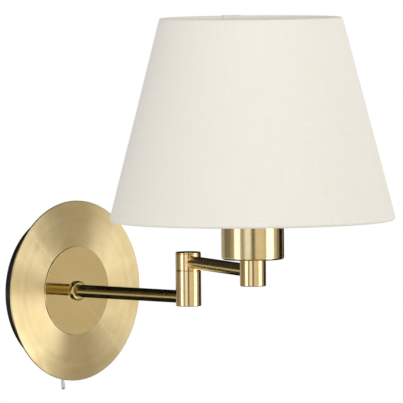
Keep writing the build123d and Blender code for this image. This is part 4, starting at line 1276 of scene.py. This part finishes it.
# ---------------------------------------------------------------- shade
@dataclass
class Shade:
    """The tapered shade: cloth turned in round two wires, its backing, and the spider."""

    shop: Workshop
    body: str = "swing_arm"
    top_radius: float = 70 * MM
    cloth_thick: float = 0.42 * MM
    backing_thick: float = 0.5 * MM
    slip: float = 0.1 * MM
    wire: float = 1.5 * MM
    wire_depth: float = 2.6 * MM
    hem: float = 11 * MM
    hem_course: tuple[tuple[float, float], ...] = (
        (1, 0), (0.75, 0), (0.5, 0.1), (0.32, 0.5), (0.16, 0.92),
    )
    lap: float = 10 * MM
    lap_side: float = math.radians(54.5)
    columns: int = 384
    rows: int = 44
    fold_steps: int = 12
    ripple: float = 0.16 * MM
    notch_reach: float = 8.5 * MM
    notch_fade: float = 4 * MM
    spider_rim: float = 27 * MM
    arm_count: int = 3
    weld: float = 2.1 * MM
    grip_count: int = 16
    grip_depth: float = 1.1 * MM
    grip_width: float = 1.6 * MM
    arm_sides: tuple[float, ...] = ()
    box: Envelope = field(init=False)

    def __post_init__(self) -> None:
        """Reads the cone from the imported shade."""
        self.box = Envelope.of("shade_fabric")
        self.height = self.box.high.z - self.box.low.z
        self.bottom_radius = self.box.radius
        self.lean = math.atan((self.bottom_radius - self.top_radius) / self.height)
        self.slant = self.height / math.cos(self.lean)
        self.bottom_wire = self._wire_run("shade_bottom_wire")
        self.top_wire = self._wire_run("shade_top_wire")

    def _wire_run(self, node: str) -> float:
        """How far up the slope from the bottom edge the centre of a wire's node lies."""
        level = Envelope.of(node).centre.z - self.box.low.z
        return level / math.cos(self.lean) + self.wire_depth * math.tan(self.lean)

    def _on_cone(self, run: float, depth: float) -> Vector:
        """Turns a place on the slope into a radius and a height.

        Args:
            run: The distance up the slope.
            depth: The distance inside the outer face.

        Returns:
            The radius in x and the height in y.
        """
        radius = self.bottom_radius - run * math.sin(self.lean) - depth * math.cos(self.lean)
        level = self.box.low.z + run * math.cos(self.lean) - depth * math.sin(self.lean)
        return Vector((radius, level))

    def build(self) -> None:
        """Makes the spider, both wires, the backing, the ring and the cloth."""
        self._spider()
        self._wires()
        self._backing()
        self._ring()
        cloth = self._cloth()

    # cloth ------------------------------------------------------
    def _section(self) -> tuple[list[Vector], int, int]:
        """Runs across the cloth, from one turned-in end round both wires to the other.

        Returns:
            Points with the run in x and the depth in y, and the numbers of the two points that
            lie under the bottom wire and over the top one.
        """
        face = self.cloth_thick / 2
        behind = self.cloth_thick + self.backing_thick + self.slip + face
        wrap = self.wire + self.slip + face
        deep = self.wire_depth + wrap
        low, high = self.bottom_wire, self.top_wire
        halves = []
        for centre, way in ((low, 1), (high, -1)):
            half = []
            for share, sink in self.hem_course:
                run = centre + way * self.hem * share
                half.append(Vector((run, behind + sink * (deep - behind))))
            for step in range(self.fold_steps + 1):
                angle = math.pi * step / self.fold_steps
                reach = wrap if angle < math.pi / 2 else self.wire_depth - face
                run = centre - way * wrap * math.sin(angle)
                half.append(Vector((run, self.wire_depth + reach * math.cos(angle))))
            halves.append(half)
        points, last = halves
        for row in range(1, self.rows):
            points.append(Vector((low + (high - low) * row / self.rows, face)))
        under = len(self.hem_course) + self.fold_steps // 2
        over = len(points) + self.fold_steps // 2
        return points + last[::-1], under, over

    def _ripple(self, angle: float, run: float) -> float:
        """Slight unevenness of the stretched cloth.

        Args:
            angle: The angle about the shade's axis.
            run: The distance up the slope.

        Returns:
            How far the cloth stands in.
        """
        hold = max(0.0, math.sin(math.pi * min(1.0, max(0.0, run / self.slant))))
        place = Vector((3.2 * math.cos(angle), 3.2 * math.sin(angle), 14 * run))
        broad = noise.noise(place)
        fine = noise.noise(place * 3.1 + Vector((7.0, 1.0, 3.0)))
        return self.ripple * hold * (broad + 0.35 * fine)

    def _notch(self, angle: float) -> float:
        """How much of the bottom hem is cut away, so that it clears the spider's arms.

        Args:
            angle: The angle about the shade's axis.

        Returns:
            0 for the whole hem and 1 for none.
        """
        cut = 0.0
        for side in self.arm_sides:
            off = abs(math.remainder(angle - side, 2 * math.pi)) * self.bottom_radius
            cut = max(cut, (self.notch_reach - off) / self.notch_fade)
        return eased(cut)

    def _cloth(self) -> bpy.types.Object:
        """Lays the cloth round the shade in one piece, with a lapped seam.

        Returns:
            The cloth.
        """
        section, under, over = self._section()
        slopes = []
        for index in range(len(section)):
            ahead = section[min(index + 1, len(section) - 1)] - section[max(index - 1, 0)]
            slopes.append(Vector((ahead.y, -ahead.x)).normalized())
        runs = [0.0]
        for first, second in zip(section, section[1:]):
            runs.append(runs[-1] + (second - first).length)
        work = bmesh.new()
        lines = []
        for column in range(self.columns + 1):
            share = column / self.columns
            line = []
            for index, point in enumerate(section):
                radius = self._on_cone(point.x, point.y).x
                angle = self.lap_side + share * (2 * math.pi + self.lap / radius)
                over_lap = (share - 1) * 2 * math.pi * radius + 1.7 * self.lap
                lift = eased(over_lap / (0.6 * self.lap)) * (self.cloth_thick + 0.05 * MM)
                place = point.copy()
                if index < under:
                    place = self._shortened(section, runs, index, under, self._notch(angle))
                if under < index < over:
                    place = place + Vector((0, self._ripple(angle, place.x)))
                spot = self._on_cone(*(place + slopes[index] * lift))
                place = (spot.x * math.cos(angle), spot.x * math.sin(angle), spot.y)
                line.append(work.verts.new(place))
            lines.append(line)
        self._weave_faces(work, lines, runs)
        mesh = bpy.data.meshes.new("shade_cloth")
        work.to_mesh(mesh)
        work.free()
        mesh.transform(Matrix.Translation((self.box.centre.x, self.box.centre.y, 0)))
        mesh.shade_smooth()
        sheet = loose("sheet", mesh)
        thick = sheet.modifiers.new("thickness", "SOLIDIFY")
        thick.thickness = self.cloth_thick
        thick.offset = 0.0
        thick.use_even_offset = True
        solid = applied(sheet)
        bpy.data.objects.remove(sheet)
        solid.name = "shade_cloth_cover"
        cover = self.shop.piece(solid, "shade_cloth", self.body, "shade_fabric")
        cover.visible_glossy = False
        return cover

    def _weave_faces(self, work: bmesh.types.BMesh, lines: list[list], runs: list[float]) -> None:
        """Joins the cloth's lines of vertices, and maps them in metres.

        Args:
            work: The cloth's mesh.
            lines: Its vertices, line by line round the shade.
            runs: The running lengths along a line.
        """
        uv = work.loops.layers.uv.new(Cloth.uv_name)
        mean = (self.bottom_radius + self.top_radius) / 2
        steps = ((0, 0), (1, 0), (1, 1), (0, 1))
        for column in range(len(lines) - 1):
            for index in range(len(runs) - 1):
                places = [(column + across, index + up) for across, up in steps]
                face = work.faces.new([lines[turn][row] for turn, row in places])
                for corner, (turn, row) in zip(face.loops, places):
                    corner[uv].uv = (turn / self.columns * 2 * math.pi * mean, runs[row])

    @staticmethod
    def _shortened(
        section: list[Vector], runs: list[float], index: int, under: int, cut: float
    ) -> Vector:
        """Draws a point of the bottom hem towards the fold, where the hem is notched.

        Args:
            section: The cloth's section.
            runs: Its running lengths.
            index: The point's number.
            under: The number of the point under the wire.
            cut: How much of the hem is cut away.

        Returns:
            The point's new place.
        """
        if cut <= 0:
            return section[index].copy()
        keep = 1 - 0.9 * cut
        wanted = runs[under] - (runs[under] - runs[index]) * keep
        for first in range(under):
            if runs[first] <= wanted <= runs[first + 1]:
                share = (wanted - runs[first]) / (runs[first + 1] - runs[first])
                return section[first].lerp(section[first + 1], share)
        return section[under].copy()

    # frame ------------------------------------------------------
    def _backing(self) -> None:
        """Rolls the stiff backing that the cloth is stretched on."""
        outer = self.cloth_thick + 0.06 * MM
        inner = outer + self.backing_thick
        low, high = self.bottom_wire - 0.2 * MM, self.top_wire + 0.2 * MM
        corners = []
        for run, depth in ((low, outer), (high, outer), (high, inner), (low, inner)):
            corners.append(Corner(*self._on_cone(run, depth), 0.1 * MM))
        seat = Seat.upright(self.box.centre)
        mesh = Lathe.turn("shade_backing_shell", Outline(corners), seat, segments=192)
        backing = self.shop.piece(mesh, "shade_backing", self.body, "shade_liner")
        backing.visible_glossy = False

    def _wires(self) -> None:
        """Bends both wire hoops with the hoop rule."""
        for node, name in (
            ("shade_bottom_wire", "bottom_wire_hoop"),
            ("shade_top_wire", "top_wire_hoop"),
        ):
            box = Envelope.of(node)
            mesh = hoop_rule().grow(
                name, "white_wire", Radius=box.radius - self.wire, Wire=self.wire
            )
            mesh.transform(Matrix.Translation(box.centre))
            self.shop.piece(mesh, "white_wire", self.body, node)

    def _spider(self) -> None:
        """Makes the spider: a flat ring, and its arms placed with the round rule."""
        cup = Envelope.of("socket_cup")
        bottom = Envelope.of("shade_bottom_wire")
        low, high = cup.high.z, Envelope.of("shade_ring").low.z
        inner, rim = Envelope.of("lampholder_sleeve").radius + 0.4 * MM, self.spider_rim
        edges = (0.2 * MM, 0.4 * MM, 0.4 * MM, 0.2 * MM)
        outline = Outline.washer(inner, rim, low, high, edges)
        plate = Lathe.turn("spider_ring", outline, Seat.upright(cup.centre), segments=128)
        self.shop.piece(plate, "white_wire", self.body, "shade_spider")
        level = (low + high) / 2
        start = rim - 1.4 * MM
        way = Vector((bottom.radius - self.wire - start, 0, bottom.centre.z - level))
        long = way.length
        rod = Outline(
            (
                Corner(0, 0),
                Corner(self.weld, 0.2 * MM, 0.5 * MM),
                Corner(self.wire, 3 * MM, 4 * MM),
                Corner(self.wire, long - 3 * MM, 4 * MM),
                Corner(self.weld, long - 1.4 * MM, 0.4 * MM),
                Corner(0, long - 1.2 * MM),
            )
        )
        lying = way.normalized()
        seat = Seat(Vector((0, 0, 0)), lying, Vector((0, 1, 0)).cross(lying).normalized())
        arm = loose("spider_arm_pattern", Lathe.turn("spider_arm", rod, seat, segments=20))
        mesh = round_rule().grow(
            "spider_arms", "white_wire", Part=arm, Count=self.arm_count, Radius=start
        )
        bpy.data.objects.remove(arm)
        first = self._first_arm()
        self.arm_sides = tuple(
            first + index * math.tau / self.arm_count for index in range(self.arm_count)
        )
        turn = Matrix.Rotation(first, 4, "Z")
        mesh.transform(Matrix.Translation((cup.centre.x, cup.centre.y, level)) @ turn)
        self.shop.piece(Lathe.smoothed(mesh), "white_wire", self.body, "shade_spider")

    def _first_arm(self) -> float:
        """The side of the spider's first arm, a quarter turn on from the swing arm's own side."""
        reach = self.box.centre - Envelope.of("elbow_upper").centre
        return math.atan2(reach.y, reach.x) + math.pi / 2

    def _ring(self) -> None:
        """Moulds the shade ring with its finger notches."""
        box = Envelope.of("shade_ring")
        bore = Envelope.of("lampholder_sleeve").radius + 0.1 * MM
        edges = (0.2 * MM, 0.5 * MM, 0.8 * MM, 0.4 * MM)
        outline = Outline.washer(bore, box.radius, box.low.z, box.high.z, edges)
        flutes = Flutes(self.grip_count, self.grip_depth, self.grip_width / box.radius)
        seat = Seat.upright(box.centre)
        mesh = Lathe.turn("notched_shade_ring", outline, seat, segments=384, flutes=flutes)
        self.shop.piece(mesh, "holder_moulding", self.body, "shade_ring")


# ---------------------------------------------------------------- studio
class Lamp(Enum):
    """The kinds of light that the cards throw back, as tints."""

    PLAIN = (1.0, 0.98, 0.9)
    COOL = (1.0, 1.12, 1.35)
    WARM = (1.0, 0.9, 0.7)


@dataclass(frozen=True)
class Card:
    """A soft card or flag round the lamp, given by its direction and its half sizes in degrees."""

    azimuth: float
    half_wide: float
    elevation: float
    half_tall: float
    level: float
    soft: float = 3.0
    lamp: Lamp = Lamp.PLAIN

    def glow(self, wires: Wiring, side: Socket, rise: Socket) -> Socket:
        """Brightness that the card adds in a direction.

        Args:
            wires: The world's wiring.
            side: The direction's azimuth.
            rise: The direction's elevation.

        Returns:
            The brightness.
        """
        soft, wide, tall = (math.radians(a) for a in (self.soft, self.half_wide, self.half_tall))
        off = wires.maths("SUBTRACT", side, math.radians(self.azimuth))
        round_off = wires.maths("ABSOLUTE", wires.maths("WRAP", off, math.pi, -math.pi))
        across: object = 1.0
        if wide < math.pi:
            across = wires.ranged(round_off, wide + soft, wide - soft, (0.0, 1.0))
        away = wires.maths("SUBTRACT", rise, math.radians(self.elevation))
        height = wires.maths("ABSOLUTE", away)
        up = wires.ranged(height, tall + soft, tall - soft, (0.0, self.level))
        return wires.maths("MULTIPLY", across, up)


@dataclass(frozen=True)
class SoftLight:
    """A round area light that shapes the cloth and stays out of the metal."""

    name: str
    azimuth: float
    elevation: float
    power: float
    tint: Colour
    size: float = 1.2
    away: float = 1.8


@dataclass
class Studio:
    """White room, soft cards, pale floor and a long lens."""

    azimuth: float = -45.633
    elevation: float = 2.964
    roll: float = -0.474
    distance: float = 4.9989
    target: Vector = field(default_factory=lambda: Vector((0.009346, -0.150, 0.074954)))
    lens: float = 568.5
    floor_level: float = -0.35
    floor_size: float = 1.6
    gloom: float = 0.006
    room_tint: Colour = (1.26, 1.255, 1.24)
    dim_tint: Colour = (0.40, 0.41, 0.43)
    dim_side: float = -152
    ceiling_tint: Colour = (0.38, 0.365, 0.335)
    cards: tuple[Card, ...] = (
        Card(-128, 7, 4, 34, 0.18, 4, Lamp.WARM),
        Card(-106, 12, 4, 38, 1.8, 2.5, Lamp.COOL),
        Card(-85, 9, 4, 38, 0.4, 3),
        Card(-64, 12, 4, 40, 0.98, 4, Lamp.COOL),
        Card(-46, 6, 4, 40, 0.17, 3, Lamp.WARM),
        Card(-21, 17, 4, 40, 0.78, 4),
        Card(0, 5, 4, 40, 0.45, 2, Lamp.WARM),
        Card(22, 16, -10, 23, 3.1, 3, Lamp.COOL),
        Card(22, 16, -3, 3, -1.5, 3, Lamp.COOL),
        Card(48, 6.5, 2, 28, 0.57, 2),
        Card(62, 6, 2, 28, 0.28, 3, Lamp.WARM),
        Card(98, 3, 8, 34, 0.4, 2, Lamp.WARM),
        Card(-145, 24, -13, 8, 0.75, 5),
        Card(168, 20, -8, 5, 0.8, 5),
        Card(172, 22, 14, 12, 0.05, 6, Lamp.WARM),
        Card(0, 180, 90, 20, 0.35, 10),
        Card(0, 180, -90, 32, 0.3, 12),
    )
    lights: tuple[SoftLight, ...] = (
        SoftLight("key", 15, 30, 2.6, (1.0, 0.98, 0.94)),
        SoftLight("fill", -88, 12, 5.0, (0.98, 0.985, 1.0)),
    )

    def build(self) -> None:
        """Sets the camera, the room, the lights and the floor."""
        self._camera()
        self._room()
        self._lights()
        self._floor()

    @staticmethod
    def _way(azimuth: float, elevation: float) -> Vector:
        """The way towards an azimuth and an elevation.

        Args:
            azimuth: Degrees from -Y, towards +X.
            elevation: Degrees above the horizon.

        Returns:
            A vector of length one.
        """
        turn, lift = math.radians(azimuth), math.radians(elevation)
        flat = math.cos(lift)
        return Vector((math.sin(turn) * flat, -math.cos(turn) * flat, math.sin(lift)))

    def _camera(self) -> None:
        """Places the camera with its small roll."""
        back = self._way(self.azimuth, self.elevation)
        right = Vector((0, 0, 1)).cross(back).normalized()
        up = back.cross(right)
        tip = math.radians(self.roll)
        across = math.cos(tip) * right + math.sin(tip) * up
        above = math.cos(tip) * up - math.sin(tip) * right
        data = bpy.data.cameras.new("portrait")
        data.lens = self.lens
        data.clip_end = 50
        camera = bpy.data.objects.new("portrait", data)
        turn = Matrix((across, above, back)).transposed().to_4x4()
        camera.matrix_world = Matrix.Translation(self.target + back * self.distance) @ turn
        bpy.context.scene.collection.objects.link(camera)
        bpy.context.scene.camera = camera

    def _room(self) -> None:
        """Wires the world: white to the eye, soft to the cloth, and cards for the metal."""
        scene = bpy.context.scene
        scene.view_settings.view_transform = "Standard"
        world = bpy.data.worlds.new("studio")
        scene.world = world
        world.use_nodes = True
        world.cycles.sampling_method = "NONE"
        world.node_tree.nodes.clear()
        wires = Wiring(world.node_tree)
        way = wires.add("ShaderNodeTexCoord").outputs["Generated"]
        parts = wires.split(way)
        lean = wires.add("ShaderNodeVectorMath", operation="DOT_PRODUCT")
        wires.feed(lean.inputs[0], way)
        wires.feed(lean.inputs[1], self._way(self.dim_side, 0))
        dim = wires.ranged(lean.outputs["Value"], 0.4, 0.95, (0.0, 1.0))
        high = wires.ranged(parts["Z"], 0.15, 0.95, (0.0, 1.0))
        soft = wires.blend(dim, self.room_tint, self.dim_tint)
        soft = wires.blend(high, soft, self.ceiling_tint)
        path = wires.add("ShaderNodeLightPath").outputs
        colour = wires.blend(path["Is Glossy Ray"], soft, self._mirrored(wires, parts))
        colour = wires.blend(path["Is Camera Ray"], colour, (1.0, 1.0, 1.0))
        sky = wires.add("ShaderNodeBackground", Color=colour)
        wires.add("ShaderNodeOutputWorld", Surface=sky.outputs[0])

    def _mirrored(self, wires: Wiring, parts: bpy.types.NodeOutputs) -> Socket:
        """Adds up the cards that polished metal sees.

        Args:
            wires: The world's wiring.
            parts: The direction's X, Y and Z.

        Returns:
            The colour seen in a direction.
        """
        front = wires.maths("MULTIPLY", parts["Y"], -1.0)
        side = wires.maths("ARCTAN2", parts["X"], front)
        rise = wires.maths("ARCSINE", parts["Z"])
        totals: dict[Lamp, object] = {lamp: 0.0 for lamp in Lamp}
        for card in self.cards:
            totals[card.lamp] = wires.maths(
                "ADD", totals[card.lamp], card.glow(wires, side, rise)
            )
        mirror = wires.add("ShaderNodeCombineColor")
        for index, channel in enumerate(mirror.inputs):
            lit: object = self.gloom
            for lamp in Lamp:
                lit = wires.maths("MULTIPLY_ADD", totals[lamp], lamp.value[index], lit)
            wires.feed(channel, wires.maths("MAXIMUM", lit, 0.0))
        return mirror.outputs[0]

    def _lights(self) -> None:
        """Hangs the soft lights."""
        for soft in self.lights:
            way = self._way(soft.azimuth, soft.elevation)
            data = bpy.data.lights.new(soft.name, "AREA")
            data.shape = "DISK"
            data.size = soft.size
            data.energy = soft.power
            data.color = soft.tint
            light = bpy.data.objects.new(soft.name, data)
            light.location = self.target + way * soft.away
            light.rotation_euler = way.to_track_quat("Z", "Y").to_euler()
            light.visible_camera = False
            light.visible_glossy = False
            bpy.context.scene.collection.objects.link(light)

    def _floor(self) -> None:
        """Lays the pale floor under the lamp; it is clear from below."""
        mesh = bpy.data.meshes.new("pale_floor")
        half = self.floor_size
        corners = [(-half, -half, 0), (half, -half, 0), (half, half, 0), (-half, half, 0)]
        mesh.from_pydata(corners, [], [(0, 1, 2, 3)])
        mesh.transform(Matrix.Translation((0, self.target.y, self.floor_level)))
        surface = Surface("pale_floor")
        cloud = surface.effect(handling(), Scale=6.0)["Value"]
        tone = surface.blend(cloud, (0.90, 0.90, 0.89), (0.87, 0.87, 0.86))
        surface.shade(Roughness=0.9, Base_Color=tone)
        clear = surface.add("ShaderNodeBsdfTransparent")
        side = surface.add("ShaderNodeNewGeometry")
        mix = surface.add("ShaderNodeMixShader")
        seen = (side.outputs["Backfacing"], surface.shader.outputs[0], clear.outputs[0])
        for target, value in zip(mix.inputs, seen):
            surface.feed(target, value)
        surface.feed(surface.tree.nodes["Material Output"].inputs["Surface"], mix.outputs[0])
        mesh.materials.append(surface.material)
        floor = loose("pale_floor", mesh)
        floor.visible_glossy = False


def main() -> None:
    """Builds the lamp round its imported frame."""
    logging.basicConfig(level=logging.INFO, format="%(message)s")
    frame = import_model()
    Studio().build()
    shop = Workshop(frame)
    WallPlate(shop).build()
    LampHead(shop).build()
    Shade(shop).build()
    shop.dress()
    log.info("%d refined pieces on %d packed nodes", shop.count, len(shop.nodes))


if __name__ == "__main__":
    main()
